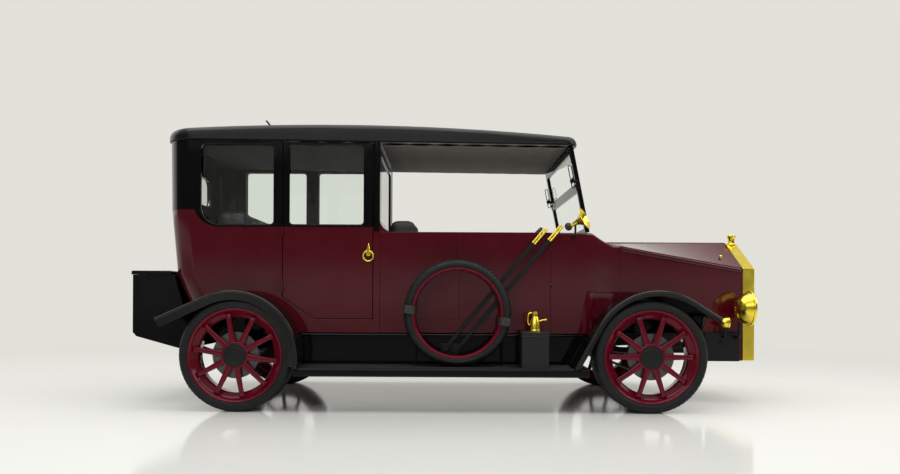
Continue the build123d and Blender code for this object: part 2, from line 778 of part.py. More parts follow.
def bonnet_half(x):
    """Half-width of the bonnet at x."""
    share = (x - bonnet_rear_x) / (radiator_rear_x - bonnet_rear_x)
    return bonnet_rear_half + share * (bonnet_front_half - bonnet_rear_half)


def bonnet_shoulder(x):
    """Height of the bonnet's shoulder at x."""
    share = (x - bonnet_rear_x) / (radiator_rear_x - bonnet_rear_x)
    return bonnet_rear_shoulder + share * (bonnet_front_shoulder - bonnet_rear_shoulder)


with BuildPart() as bonnet_sides:
    with BuildSketch(Plane.XY.offset(radiator_bottom)):
        Polygon(
            (bonnet_rear_x, bonnet_rear_half), (radiator_rear_x, bonnet_front_half),
            (radiator_rear_x, bonnet_front_half - bonnet_sheet),
            (bonnet_rear_x, bonnet_rear_half - bonnet_sheet), align=None,
        )
    extrude(amount=bonnet_rear_shoulder - radiator_bottom)
    side_plate(
        (
            (bonnet_rear_x, bonnet_side_bottom), (radiator_rear_x - bonnet_strip, bonnet_side_bottom),
            (radiator_rear_x - bonnet_strip, radiator_bottom), (radiator_rear_x, radiator_bottom),
            (radiator_rear_x, bonnet_front_shoulder - panel_gap - lid_thickness),
            (bonnet_rear_x, bonnet_rear_shoulder - panel_gap - lid_thickness),
        ),
        (0, body_half), mode=Mode.INTERSECT,
    )
    mirror(about=Plane.XZ)
save(bonnet_sides, "bonnet_sides")

with BuildPart() as bonnet_hinge_rod:
    rod((bonnet_rear_x, 0, ridge_rod_z), (radiator_rear_x, 0, ridge_rod_z), ridge_rod_radius)
save(bonnet_hinge_rod, "bonnet_hinge_rod")


def lid_section(x, side):
    """Cross-section of a bonnet lid, from beside the ridge to just past the shoulder."""
    shoulder = bonnet_shoulder(x)
    outer = bonnet_half(x) + lid_edge
    with BuildSketch(Plane.YZ.offset(x)) as section:
        Polygon(
            (side * lid_inner, bonnet_ridge_z - lid_thickness), (side * lid_inner, bonnet_ridge_z),
            (side * outer, shoulder), (side * outer, shoulder - lid_thickness), align=None,
        )
    return section.sketch


for lid_index, (side_name, side) in enumerate(sides):
    lid_x = (bonnet_rear_x + panel_gap, radiator_rear_x - panel_gap)
    segment = (lid_x[1] - lid_x[0]) / lid_segments
    with BuildPart() as bonnet_lid:
        loft([lid_section(lid_x[0], side), lid_section(lid_x[1], side)], ruled=True)
        for index in range(lid_index, lid_segments, 2):
            start = lid_x[0] + index * segment
            end = start + segment - panel_gap
            rod((start, 0, ridge_rod_z), (end, 0, ridge_rod_z), ridge_barrel_radius)
            leaf_z = (bonnet_ridge_z - lid_thickness, bonnet_ridge_z - lid_leaf_drop)
            block((start, end), sorted((0, side * (lid_inner + lid_leaf_lap))), leaf_z)
        rod_ends = [(x, 0, ridge_rod_z) for x in lid_x]
        rod(*rod_ends, ridge_rod_radius + running_fit, Mode.SUBTRACT)
    save(bonnet_lid, f"bonnet_lid_{side_name}")

# Windscreen: a leaning frame on the cowl with a thick upper sash, stays at the joint, and two panes
screen_inset = 20
screen_half = body_half - screen_inset
screen_depth = 30
screen_post = 34
screen_rail = 30
screen_upper_rail = 46
screen_joint_z = 1472
screen_lean = atan2(screen_foot_x - screen_top_x, roof_lip_front_z - belt_z)
screen_foot = (screen_foot_x - 20, 0, belt_z)
screen_plane = Plane(origin=screen_foot, x_dir=(0, 1, 0), z_dir=(cos(screen_lean), 0, sin(screen_lean)))
screen_tilt_rise = screen_depth / 2 * sin(screen_lean) + seat_gap
screen_low = screen_tilt_rise / cos(screen_lean)
screen_high = (roof_lip_front_z - belt_z - screen_tilt_rise) / cos(screen_lean)
screen_joint = (screen_joint_z - belt_z) / cos(screen_lean)
pane_half = screen_half - screen_post
lower_pane = (screen_low + screen_rail, screen_joint - screen_rail / 2)
upper_pane = (screen_joint + screen_upper_rail, screen_high - screen_upper_rail)

with BuildPart() as windscreen_frame:
    with BuildSketch(screen_plane.offset(-screen_depth / 2)):
        with Locations((0, (screen_low + screen_high) / 2)):
            Rectangle(2 * screen_half, screen_high - screen_low)
        for pane in (lower_pane, upper_pane):
            with Locations((0, sum(pane) / 2)):
                Rectangle(2 * pane_half, pane[1] - pane[0], mode=Mode.SUBTRACT)
    extrude(amount=screen_depth)
save(windscreen_frame, "windscreen_frame")

with BuildPart() as windscreen_glass:
    with BuildSketch(screen_plane.offset(-glass_thickness / 2)):
        for pane in (lower_pane, upper_pane):
            with Locations((0, sum(pane) / 2)):
                Rectangle(2 * pane_half, pane[1] - pane[0])
    extrude(amount=glass_thickness)
save(windscreen_glass, "windscreen_glass")

# Seats: a bench for the driver and a deeper one in the cabin
front_seat_gap = 15
seat_lap = 40
front_seat_half = body_inner - front_seat_gap
front_seat_back_x = (-400, -213)
front_seat_back_z = 1289
front_seat_front_x = 130
front_seat_z = 905
rear_seat_gap = 50
rear_seat_half = body_inner - rear_seat_gap
rear_seat_back_x = (-1590, -1370)
rear_seat_back_z = 1350
rear_seat_front_x = -960
rear_seat_z = 935
seat_corner = 40


def bench(half, back_x, back_z, front_x, cushion_z):
    """A bench seat in the current part: a leaning back and a cushion on its base."""
    with BuildSketch(Plane.XZ.offset(-half)) as profile:
        Polygon(
            (back_x[0], floor_top), (front_x, floor_top), (front_x, cushion_z),
            (back_x[1] + seat_lap, cushion_z),
            (back_x[1], back_z), (back_x[0], back_z), align=None,
        )
        fillet(profile.vertices().group_by(Axis.Y)[-1], seat_corner)
        fillet(profile.vertices().sort_by(Axis.X)[-1], seat_corner)
    extrude(profile.sketch, amount=2 * half)


with BuildPart() as front_seat:
    bench(front_seat_half, front_seat_back_x, front_seat_back_z, front_seat_front_x, front_seat_z)
save(front_seat, "front_seat")

with BuildPart() as rear_seat:
    bench(rear_seat_half, rear_seat_back_x, rear_seat_back_z, rear_seat_front_x, rear_seat_z)
save(rear_seat, "rear_seat")

# Steering: a column from the bulkhead to the driver, with a four-spoked wheel on a shaft inside it
steering_centre = (540, -300, 1085)
steering_slope = radians(40)
steering_radius = 185
steering_rim_radius = 14
steering_hub_radius = 34
steering_spoke_count = 4
steering_spoke_start = 45
steering_spoke_width = 22
steering_spoke_thickness = 12
steering_boss_drop = 10
steering_shaft_radius = 14
steering_shaft_length = 180
column_radius = 24
column_start = 36
steering_down = Vector(cos(steering_slope), 0, -sin(steering_slope))
steering_plane = Plane(origin=steering_centre, x_dir=(0, 1, 0), z_dir=steering_down)


def along_column(distance):
    """Point on the steering axis, at a distance below the wheel's centre."""
    return tuple(Vector(*steering_centre) + steering_down * distance)


with BuildPart() as steering_column:
    rod(along_column(column_start), along_column(2 * (bulkhead_x - steering_centre[0])), column_radius)
    shaft_end = along_column(steering_shaft_length + panel_gap)
    rod(along_column(column_start), shaft_end, steering_shaft_radius + running_fit, mode=Mode.SUBTRACT)
    block((bulkhead_x, cut_reach), (-body_half, body_half), (-cut_reach, cut_reach), mode=Mode.SUBTRACT)
    block((0, cut_reach), (-body_half, body_half), (-cut_reach, floor_top), mode=Mode.SUBTRACT)
save(steering_column, "steering_column")

with BuildPart() as steering_wheel:
    with BuildSketch(Plane(origin=steering_centre, x_dir=steering_down, z_dir=(0, 1, 0))):
        with Locations((0, steering_radius)):
            Circle(steering_rim_radius)
    revolve(axis=Axis(steering_centre, steering_down))
    with BuildSketch(steering_plane.offset(-6)):
        Circle(steering_hub_radius)
        with PolarLocations(0, steering_spoke_count, start_angle=steering_spoke_start):
            with Locations((steering_radius / 2, 0)):
                Rectangle(steering_radius, steering_spoke_width)
    extrude(amount=steering_spoke_thickness)
    with BuildSketch(steering_plane.offset(-steering_boss_drop)):
        Circle(steering_hub_radius)
    extrude(amount=column_start + steering_boss_drop - seat_gap)
    rod(along_column(0), along_column(steering_shaft_length), steering_shaft_radius)
save(steering_wheel, "steering_wheel")

# Running boards: a thick step along each side, with an apron up to the body
board_x = (-990, 905)
board_z = (229, 284)
board_inset = 5
board_outer = fender_outer - board_inset
board_edge = 14

with BuildPart() as running_boards:
    for side in (-1, 1):
        with BuildSketch(Plane.YZ.offset(board_x[0])) as board:
            Polygon(
                (side * board_apron_inner, board_z[0]), (side * board_outer, board_z[0]),
                (side * board_outer, board_z[1]), (side * board_apron_outer, board_z[1]),
                (side * board_apron_outer, body_bottom), (side * board_apron_inner, body_bottom), align=None,
            )
            outer = board.vertices().sort_by(lambda vertex: side * vertex.X)[-2:]
            fillet(outer, board_edge)
        extrude(board.sketch, amount=board_x[1] - board_x[0])
save(running_boards, "running_boards")

# Fenders: rolled sheet over each wheel, with a straight tail and a turned-down outer edge
fender_sheet = 8
front_fender_width = 245
front_fender_inner = fender_outer - front_fender_width
front_fender_radius = 432
front_fender_centre = (front_axle_x + 40, 352)
front_fender_tip = (1747, 608)
front_fender_tail = (811, board_z[1])
front_fender_lip = 30
rear_fender_radius = 412
rear_fender_centre = (rear_axle_x - 15, tyre_radius)
rear_fender_tip = (-1871, 595)
rear_fender_lip = 56
fender_lip_thickness = 6
tip_slope = (0.5, 0.9)
tail_slope = 1.1
stay_radius = 11
stay_foot_x = 1770
stay_foot_drop = 30
stay_head_x = 1706
stay_head_z = 628
stay_head_inset = 20


def tangent_angle(centre, radius, point, turn):
    """Angle on a circle where the tangent line from a point touches it, on the side given by turn."""
    dx = point[0] - centre[0]
    dz = point[1] - centre[1]
    distance = hypot(dx, dz)
    return (atan2(dz, dx) + turn * atan2(sqrt(distance**2 - radius**2), radius)) % (2 * pi)


def on_circle(centre, radius, angle):
    """Point on a circle at an angle from +X towards +Z."""
    return centre[0] + radius * cos(angle), centre[1] + radius * sin(angle)


def fender_band(centre, radius, depth, front_point, rear_point, rear_angle):
    """Side-view band of a fender, depth thick inside radius, along its tip, arc and tail."""
    with BuildSketch(Plane.XZ) as band:
        with BuildLine():
            tips = []
            feet = []
            for shift in (0, depth):
                level = radius - shift
                tip = (front_point[0] - tip_slope[0] * shift, front_point[1] - tip_slope[1] * shift)
                start = tangent_angle(centre, level, tip, 1)
                stop = rear_angle
                if rear_point is not None:
                    foot = (rear_point[0] + tail_slope * shift, rear_point[1])
                    stop = tangent_angle(centre, level, foot, -1)
                first = on_circle(centre, level, start)
                last = on_circle(centre, level, stop)
                Line(tip, first)
                ThreePointArc(first, on_circle(centre, level, (start + stop) / 2), last)
                if rear_point is None:
                    foot = last
                else:
                    Line(last, foot)
                tips.append(tip)
                feet.append(foot)
            Line(*tips)
            Line(*feet)
        make_face()
    return band.sketch


front_sheet = fender_band(
    front_fender_centre, front_fender_radius, fender_sheet, front_fender_tip, front_fender_tail, None
)
front_lip = fender_band(
    front_fender_centre, front_fender_radius, front_fender_lip, front_fender_tip, front_fender_tail, None
)

with BuildPart() as front_fenders:
    for side in (-1, 1):
        top_y = fender_outer if side > 0 else -front_fender_inner
        extrude(front_sheet.moved(Location((0, top_y, 0))), amount=fender_outer - front_fender_inner)
        lip_y = fender_outer if side > 0 else -fender_outer + fender_lip_thickness
        extrude(front_lip.moved(Location((0, lip_y, 0))), amount=fender_lip_thickness)
        stay_foot = (stay_foot_x, side * (rail_outer + apron_thickness), front_apron_z[1] - stay_foot_drop)
        stay_head = (stay_head_x, side * (front_fender_inner + stay_head_inset), stay_head_z)
        rod(stay_foot, stay_head, stay_radius)
save(front_fenders, "front_fenders")

rear_foot_angle = -atan2(rear_fender_centre[1] - board_z[1], rear_fender_radius)


def mirrored_x(point):
    """The point as seen from the other side, for an outline drawn with its tip forward."""
    return -point[0], point[1]


rear_sheet, rear_lip = (
    mirror(
        fender_band(
            mirrored_x(rear_fender_centre), rear_fender_radius, depth, mirrored_x(rear_fender_tip), None,
            pi - rear_foot_angle,
        ),
        about=Plane.YZ,
    )
    for depth in (fender_sheet, rear_fender_lip)
)

with BuildPart() as rear_fenders:
    for side in (-1, 1):
        top_y = fender_outer if side > 0 else -body_half
        extrude(rear_sheet.moved(Location((0, top_y, 0))), amount=fender_outer - body_half, dir=(0, -1, 0))
        lip_y = fender_outer if side > 0 else -fender_outer + fender_lip_thickness
        extrude(rear_lip.moved(Location((0, lip_y, 0))), amount=fender_lip_thickness, dir=(0, -1, 0))
    block((-cut_reach, cut_reach), (-cut_reach, cut_reach), (0, board_z[1]), mode=Mode.SUBTRACT)
save(rear_fenders, "rear_fenders")

# Trunk: a box on the frame's tail with a slanted underside, and a lid hinged along its front edge
trunk_inset = 120
trunk_half = body_half - trunk_inset
trunk_wall = 12
trunk_top = 885
trunk_back_x = -2165
trunk_back_foot = 490
trunk_toe = (-2140, 462)
trunk_heel_z = 372
trunk_seat_z = 470
trunk_waist = (-1825, 700)
trunk_front_x = -1878
lid_rear_x = -2172
lid_front_x = -1898
trunk_lid_gap = 1
trunk_lid_thickness = 27
trunk_lid_overhang = 7
trunk_lid_edge = 10
trunk_leaf_lap = 2
trunk_hinge_x = -1885
trunk_hinge_z = trunk_top + 10
trunk_hinge_y = (-340, 340)
trunk_barrel = 60
lug_depth = 12


def trunk_outline(top, inset, half_width):
    """Side view of the trunk up to the height top, drawn in by inset all round."""
    with BuildSketch(Plane.XZ.offset(-half_width)) as outline:
        Polygon(
            (trunk_back_x, top), (trunk_back_x, trunk_back_foot), trunk_toe, (rail_rear_x, trunk_heel_z),
            (rail_rear_x, trunk_seat_z), trunk_waist, (trunk_front_x, top), align=None,
        )
        if inset:
            offset(amount=-inset, mode=Mode.REPLACE)
    return outline.sketch


with BuildPart() as trunk:
    extrude(trunk_outline(trunk_top, 0, trunk_half), amount=2 * trunk_half)
    cavity_half = trunk_half - trunk_wall
    cavity = trunk_outline(trunk_top + trunk_wall, trunk_wall, cavity_half)
    extrude(cavity, amount=2 * cavity_half, mode=Mode.SUBTRACT)
    for y in trunk_hinge_y:
        for level in (-1, 1):
            near = y + level * (trunk_barrel / 2 + seat_gap)
            far = near + level * trunk_barrel / 2
            rod((trunk_hinge_x, near, trunk_hinge_z), (trunk_hinge_x, far, trunk_hinge_z), hinge_radius)
            lug_x = (trunk_hinge_x - hinge_pin_radius, trunk_hinge_x + hinge_pin_radius)
            block(lug_x, sorted((near, far)), (trunk_top - lug_depth, trunk_hinge_z))
        pin_ends = [(trunk_hinge_x, y + level * trunk_barrel, trunk_hinge_z) for level in (-1, 1)]
        rod(*pin_ends, hinge_pin_radius)
save(trunk, "trunk")

with BuildPart() as trunk_lid:
    lid_half = trunk_half + trunk_lid_overhang
    lid_bottom = trunk_top + trunk_lid_gap
    lid_z = (lid_bottom, lid_bottom + trunk_lid_thickness)
    block((lid_rear_x, lid_front_x), (-lid_half, lid_half), lid_z)
    upper = trunk_lid.faces().sort_by(Axis.Z)[-1].edges()
    fillet(upper, trunk_lid_edge)
    leaf_z = (trunk_hinge_z - hinge_pin_radius, trunk_hinge_z + hinge_pin_radius)
    for y in trunk_hinge_y:
        start = (trunk_hinge_x, y - trunk_barrel / 2, trunk_hinge_z)
        end = (trunk_hinge_x, y + trunk_barrel / 2, trunk_hinge_z)
        rod(start, end, hinge_radius)
        block((lid_front_x - trunk_leaf_lap, trunk_hinge_x), (start[1], end[1]), leaf_z)
        rod(start, end, hinge_pin_radius + running_fit, mode=Mode.SUBTRACT)
save(trunk_lid, "trunk_lid")

# Lamps: two deep brass headlamps on bracket posts, and two small side lamps behind them
headlamp_x = 2085
headlamp_spread = 140
headlamp_y = radiator_half + headlamp_spread
headlamp_z = 672
headlamp_radius = 114
headlamp_depth = 110
headlamp_wall = 7
headlamp_recess = 12
headlamp_fullness = 0.72
headlamp_bezel = 6
headlamp_bezel_length = 16
lens_thickness = 6
lamp_post = 20
lamp_post_x = 2010
side_lamp_x = 1927
side_lamp_spread = 90
side_lamp_y = radiator_half + side_lamp_spread
side_lamp_z = 571
side_lamp_radius = 42
side_lamp_length = 70

with BuildPart() as lamps:
    for side in (-1, 1):
        centre_y = side * headlamp_y
        with BuildSketch(Plane.XZ.offset(-centre_y)) as bowl:
            with BuildLine():
                rim = (headlamp_x, headlamp_z + headlamp_radius)
                back = (headlamp_x - headlamp_depth, headlamp_z)
                bulge_x = headlamp_x - headlamp_depth * headlamp_fullness
                bulge = (bulge_x, headlamp_z + headlamp_radius * headlamp_fullness)
                ThreePointArc(back, bulge, rim)
                Polyline(rim, (headlamp_x, headlamp_z), back)
            make_face()
        revolve(bowl.sketch, axis=Axis((0, centre_y, headlamp_z), (1, 0, 0)))
        bezel_start = (headlamp_x - headlamp_bezel_length, centre_y, headlamp_z)
        recess_start = (headlamp_x - headlamp_recess, centre_y, headlamp_z)
        recess_end = (headlamp_x, centre_y, headlamp_z)
        rod(bezel_start, recess_end, headlamp_radius + headlamp_bezel)
        rod(recess_start, recess_end, headlamp_radius - headlamp_wall, mode=Mode.SUBTRACT)
        post_x = (lamp_post_x - lamp_post / 2, lamp_post_x + lamp_post / 2)
        post_y = (centre_y - lamp_post / 2, centre_y + lamp_post / 2)
        block(post_x, post_y, (rail_top - 2 * lamp_post, headlamp_z - headlamp_radius * 0.6))
        arm_y = sorted((side * (rail_outer + apron_thickness), centre_y))
        block(post_x, arm_y, (rail_top - 2 * lamp_post, rail_top - lamp_post))
        lamp_y = side * side_lamp_y
        back = (side_lamp_x - side_lamp_length / 2, lamp_y, side_lamp_z)
        front = (side_lamp_x + side_lamp_length / 2, lamp_y, side_lamp_z)
        rod(back, front, side_lamp_radius)
        foot_x = (side_lamp_x - lamp_post / 2, side_lamp_x + lamp_post / 2)
        foot_y = (lamp_y - lamp_post / 2, lamp_y + lamp_post / 2)
        block(foot_x, foot_y, (rail_top - 2 * lamp_post, side_lamp_z))
        arm_y = sorted((side * (rail_outer + apron_thickness), lamp_y))
        block(foot_x, arm_y, (rail_top - 2 * lamp_post, rail_top - lamp_post))
save(lamps, "lamps")

with BuildPart() as lamp_lenses:
    for side in (-1, 1):
        lens_back = (headlamp_x - headlamp_recess + seat_gap, side * headlamp_y, headlamp_z)
        lens_front = (lens_back[0] + lens_thickness, side * headlamp_y, headlamp_z)
        rod(lens_back, lens_front, headlamp_radius - headlamp_wall - seat_gap)
save(lamp_lenses, "lamp_lenses")

# Spare wheel: a tyre on a bare rim, standing on the right running board and strapped to the body
spare_radius = 354
spare_x = 60
spare_gap = 35
spare_width = 140
spare_y = (-body_half - spare_gap - spare_width, -body_half - spare_gap)
spare_z = board_z[1] + spare_radius
spare_rim_outer = 298
spare_rim_inner = 279
spare_rim_width = 110
spare_shoulder = 45
strap_width = 40
strap_height = 60
strap_lap = 4
lever_gap = 8
lever_thickness = 15
lever_y = (-body_half - lever_gap - lever_thickness, -body_half - lever_gap)

with BuildPart() as spare_tyre:
    centre = (spare_x, sum(spare_y) / 2, spare_z)
    half = (spare_y[1] - spare_y[0]) / 2
    with BuildSketch(Plane(centre, x_dir=(0, 1, 0), z_dir=(1, 0, 0))) as section:
        seat = spare_rim_outer + seat_gap
        Polygon((-half, seat), (half, seat), (half, spare_radius), (-half, spare_radius), align=None)
        fillet(section.vertices().group_by(Axis.Y)[-1], spare_shoulder)
    revolve(section.sketch, axis=Axis(centre, (0, 1, 0)))
save(spare_tyre, "spare_tyre")

with BuildPart() as spare_rim:
    with BuildSketch(Plane.XZ.offset(-centre[1] - spare_rim_width / 2)):
        with Locations((spare_x, spare_z)):
            Circle(spare_rim_outer)
            Circle(spare_rim_inner, mode=Mode.SUBTRACT)
    extrude(amount=spare_rim_width)
    for end, strap_y in ((-1, -body_half), (1, lever_y[0] - panel_gap)):
        strap_reach = (spare_rim_inner - strap_width, spare_rim_inner + strap_lap)
        strap_x = sorted(spare_x + end * reach for reach in strap_reach)
        strap_z = (spare_z - strap_height / 2, spare_z + strap_height / 2)
        block(strap_x, (centre[1] - spare_rim_width / 2, strap_y), strap_z)
save(spare_rim, "spare_rim")

# Control levers: two long flat levers beside the body on a bracket on the apron, with round grips
lever_width = 26
lever_rows = (
    # foot x, foot z, top x, top z
    (-19, 399, 654, 1203),
    (51, 381, 759, 1223),
)
grip_radius = 15
grip_length = 130
bracket_x = (-50, 84)
bracket_z = (350, 432)

with BuildPart() as control_levers:
    for foot_x, foot_z, top_x, top_z in lever_rows:
        lever_length = hypot(top_x - foot_x, top_z - foot_z)
        run = lever_length - grip_length
        tilt = degrees(atan2(top_z - foot_z, top_x - foot_x))
        with BuildSketch(Plane.XZ.offset(-lever_y[1])):
            with Locations(Location((foot_x, foot_z, 0), tilt)):
                with Locations((run / 2, 0)):
                    Rectangle(run, lever_width)
                Circle(lever_width)
        extrude(amount=lever_y[1] - lever_y[0])
    block(bracket_x, (lever_y[1], -board_apron_outer), bracket_z)
save(control_levers, "control_levers")

with BuildPart() as lever_grips:
    for foot_x, foot_z, top_x, top_z in lever_rows:
        lever_length = hypot(top_x - foot_x, top_z - foot_z)
        share = 1 - grip_length / lever_length
        grip_y = sum(lever_y) / 2
        start = (foot_x + share * (top_x - foot_x), grip_y, foot_z + share * (top_z - foot_z))
        rod(start, (top_x, grip_y, top_z), grip_radius)
save(lever_grips, "lever_grips")

# Tool box on the right running board, with a small oil can on its lid
tool_box_x = (472, 652)
tool_box_gap = 30
tool_box_depth = 200
tool_box_y = (-body_half - tool_box_gap - tool_box_depth, -body_half - tool_box_gap)
tool_box_z = 520
tool_box_corner = 12
can_x = 568
can_radius = 40
can_height = 130
can_shoulder = 94
can_taper = 17
can_neck = 13
spout_root = 60
spout_tip = 112
spout_reach = 78
spout_radius = 5

with BuildPart() as tool_box:
    block(tool_box_x, tool_box_y, (board_z[1], tool_box_z))
    fillet(tool_box.edges().filter_by(Axis.Z), tool_box_corner)
save(tool_box, "tool_box")

with BuildPart() as oil_can:
    can_y = sum(tool_box_y) / 2
    with BuildSketch(Plane.XY.offset(tool_box_z)):
        with Locations((can_x, can_y)):
            Circle(can_radius)
    extrude(amount=can_shoulder, taper=can_taper)
    with BuildSketch(Plane.XY.offset(tool_box_z)):
        with Locations((can_x, can_y)):
            Circle(can_neck)
    extrude(amount=can_height)
    spout_start = (can_x, can_y, tool_box_z + spout_root)
    rod(spout_start, (can_x + spout_reach, can_y, tool_box_z + spout_tip), spout_radius)
save(oil_can, "oil_can")

# Bulb horn: a bell facing forward, one round loop of tube and a rubber bulb, on a stem from the belt
horn_gap = 58
horn_y = -(body_half + horn_gap)
horn_z = 1242
bell_front_x = 941
bell_radius = 52
bell_length = 76
bell_flare = 14
horn_loop_radius = 42
horn_tube_radius = 11
horn_loop_x = 855
horn_bracket_z = 1150
bulb_rear_x = 772
bulb_radius = 32
bulb_length = 62
bulb_neck = 20
stem_radius = 8

with BuildPart() as bulb_horn:
    loop_z = horn_z + horn_loop_radius
    with BuildSketch(Plane(origin=(horn_loop_x, horn_y, horn_z), z_dir=(1, 0, 0))) as tube:
        Circle(horn_tube_radius)
    revolve(tube.sketch, axis=Axis((horn_loop_x, horn_y, loop_z), (0, 1, 0)))
    with BuildSketch(Plane.XZ.offset(-horn_y)) as bell:
        Polygon(
            (horn_loop_x - 4, horn_z), (horn_loop_x - 4, horn_z + horn_tube_radius),
            (bell_front_x - bell_length, horn_z + horn_tube_radius + 2),
            (bell_front_x - bell_flare, horn_z + bell_radius - bell_flare),
            (bell_front_x, horn_z + bell_radius), (bell_front_x, horn_z), align=None,
        )
    revolve(bell.sketch, axis=Axis((0, horn_y, horn_z), (1, 0, 0)))
    with BuildSketch(Plane.XZ.offset(-horn_y)) as bulb:
        with BuildLine():
            bulb_front = bulb_rear_x + bulb_length
            bulb_top = ((bulb_rear_x + bulb_front) / 2, horn_z + bulb_radius)
            Line((bulb_rear_x, horn_z), (bulb_front, horn_z))
            ThreePointArc((bulb_front, horn_z), bulb_top, (bulb_rear_x, horn_z))
        make_face()
    revolve(bulb.sketch, axis=Axis((0, horn_y, horn_z), (1, 0, 0)))
    rod((bulb_front - bulb_neck, horn_y, horn_z), (horn_loop_x, horn_y, horn_z), horn_tube_radius)
    rod((horn_loop_x, horn_y, horn_bracket_z), (horn_loop_x, horn_y, horn_z), stem_radius)
    foot_x = (horn_loop_x - 2 * stem_radius, horn_loop_x + 2 * stem_radius)
    block(foot_x, (horn_y - stem_radius, -body_half), (horn_bracket_z - 2 * stem_radius, horn_bracket_z))
save(bulb_horn, "bulb_horn")
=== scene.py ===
"""Enclosed-drive limousine: finishes, soft goods and fine detail on its CAD frame, in metres."""
from math import acos, asin, atan2, copysign, cos, exp, pi, radians, sin

import bmesh
import bpy
from mathutils import Matrix, Vector


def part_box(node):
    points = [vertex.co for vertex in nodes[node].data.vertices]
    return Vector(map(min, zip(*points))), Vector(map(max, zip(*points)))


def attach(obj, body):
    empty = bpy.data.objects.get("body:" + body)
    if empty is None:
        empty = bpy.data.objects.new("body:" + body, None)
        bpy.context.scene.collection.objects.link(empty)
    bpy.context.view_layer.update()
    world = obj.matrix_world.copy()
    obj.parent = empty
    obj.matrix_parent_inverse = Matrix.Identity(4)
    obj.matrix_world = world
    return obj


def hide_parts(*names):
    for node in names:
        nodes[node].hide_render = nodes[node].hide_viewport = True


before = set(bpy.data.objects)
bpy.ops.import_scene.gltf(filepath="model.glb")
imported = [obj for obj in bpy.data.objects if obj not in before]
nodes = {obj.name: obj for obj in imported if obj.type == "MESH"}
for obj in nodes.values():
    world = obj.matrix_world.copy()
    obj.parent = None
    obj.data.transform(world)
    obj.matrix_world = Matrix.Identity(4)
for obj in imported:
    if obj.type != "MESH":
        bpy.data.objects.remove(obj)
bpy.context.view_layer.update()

# Studio: a wide pale floor that fades into a pale surround, with soft lamps overhead and beside the car.
# The camera stands low and square to the car's right side, a little rolled, with its frame moved up.
scene = bpy.context.scene
scene.view_settings.view_transform = "Standard"
FRAME_WIDTH = 900
FRAME_HEIGHT = 474
FOCAL_PIXELS = 770
AXIS_PIXEL = (444, 295)
SENSOR = 36
camera_data = bpy.data.cameras.new("camera")
camera_data.sensor_width = SENSOR
camera_data.lens = FOCAL_PIXELS / FRAME_WIDTH * SENSOR
camera_data.shift_x = (FRAME_WIDTH / 2 - AXIS_PIXEL[0]) / FRAME_WIDTH
camera_data.shift_y = (AXIS_PIXEL[1] - FRAME_HEIGHT / 2) / FRAME_WIDTH
camera_data.clip_end = 200
camera = bpy.data.objects.new("camera", camera_data)
camera.location = (-0.028, -5.787, 0.755)
camera.rotation_euler = (pi / 2, radians(-0.28), 0)
scene.collection.objects.link(camera)
scene.camera = camera

lamp_rows = (
    # name, place, aimed at, width, depth, power
    ("roof_softbox", (0, -0.6, 5.2), (0, 0, 0), 7.0, 4.0, 200),
    ("near_softbox", (-1.5, -6.5, 4.2), (0, 0, 0.8), 6.0, 2.5, 90),
    ("front_softbox", (6.0, -2.5, 4.6), (1.0, 0, 0.7), 3.0, 3.0, 110),
    ("rear_softbox", (-6.0, 1.5, 3.4), (-1.0, 0, 0.9), 4.0, 4.0, 45),
)
for lamp_name, place, target, width, depth, power in lamp_rows:
    lamp_data = bpy.data.lights.new(lamp_name, "AREA")
    lamp_data.shape = "RECTANGLE"
    lamp_data.size = width
    lamp_data.size_y = depth
    lamp_data.energy = power
    lamp = bpy.data.objects.new(lamp_name, lamp_data)
    lamp.location = place
    lamp.rotation_euler = (Vector(target) - Vector(place)).to_track_quat("-Z", "Y").to_euler()
    scene.collection.objects.link(lamp)


def add_node(owner, kind, values=(), **settings):
    """A new node in a material, world or node group, with its settings and constant inputs."""
    node = getattr(owner, "node_tree", owner).nodes.new(kind)
    for key, value in settings.items():
        setattr(node, key, value)
    for key, value in dict(values).items():
        node.inputs[key].default_value = value
    return node


def join(owner, *links):
    """Link pairs of sockets."""
    for start, end in links:
        getattr(owner, "node_tree", owner).links.new(start, end)


def math_node(owner, operation, first, second=None):
    """A Math node's output; first and second are sockets or numbers."""
    node = add_node(owner, "ShaderNodeMath", operation=operation)
    for socket, value in zip(node.inputs, (first, second)):
        if isinstance(value, (int, float)):
            socket.default_value = value
        elif value is not None:
            join(owner, (value, socket))
    return node.outputs["Value"]


BACKDROP = (0.76, 0.75, 0.70, 1)
world_tones = (
    # sine of the height above the horizon, grey
    (-0.02, 0.58), (0.028, 0.56), (0.042, 0.10), (0.40, 0.20), (0.80, 0.86),
)
world = bpy.data.worlds.new("studio")
scene.world = world
world.use_nodes = True
world_place = add_node(world, "ShaderNodeTexCoord")
world_axes = add_node(world, "ShaderNodeSeparateXYZ")
world_range = add_node(world, "ShaderNodeMapRange", {"From Min": -1})
world_ramp = add_node(world, "ShaderNodeValToRGB")
while len(world_ramp.color_ramp.elements) < len(world_tones):
    world_ramp.color_ramp.elements.new(0.5)
for element, (rise, grey) in zip(world_ramp.color_ramp.elements, world_tones):
    element.position = (rise + 1) / 2
    element.color = (grey, grey, 0.97 * grey, 1)
world_rays = add_node(world, "ShaderNodeLightPath")
far_side = add_node(world, "ShaderNodeMapRange", {"From Min": -0.05, "From Max": 0.15})
backdrop_seen = math_node(world, "MULTIPLY", world_rays.outputs["Is Glossy Ray"], far_side.outputs["Result"])
for ray_name in ("Is Camera Ray", "Is Transmission Ray"):
    backdrop_seen = math_node(world, "MAXIMUM", backdrop_seen, world_rays.outputs[ray_name])
world_mix = add_node(world, "ShaderNodeMix", {"B": BACKDROP}, data_type="RGBA")
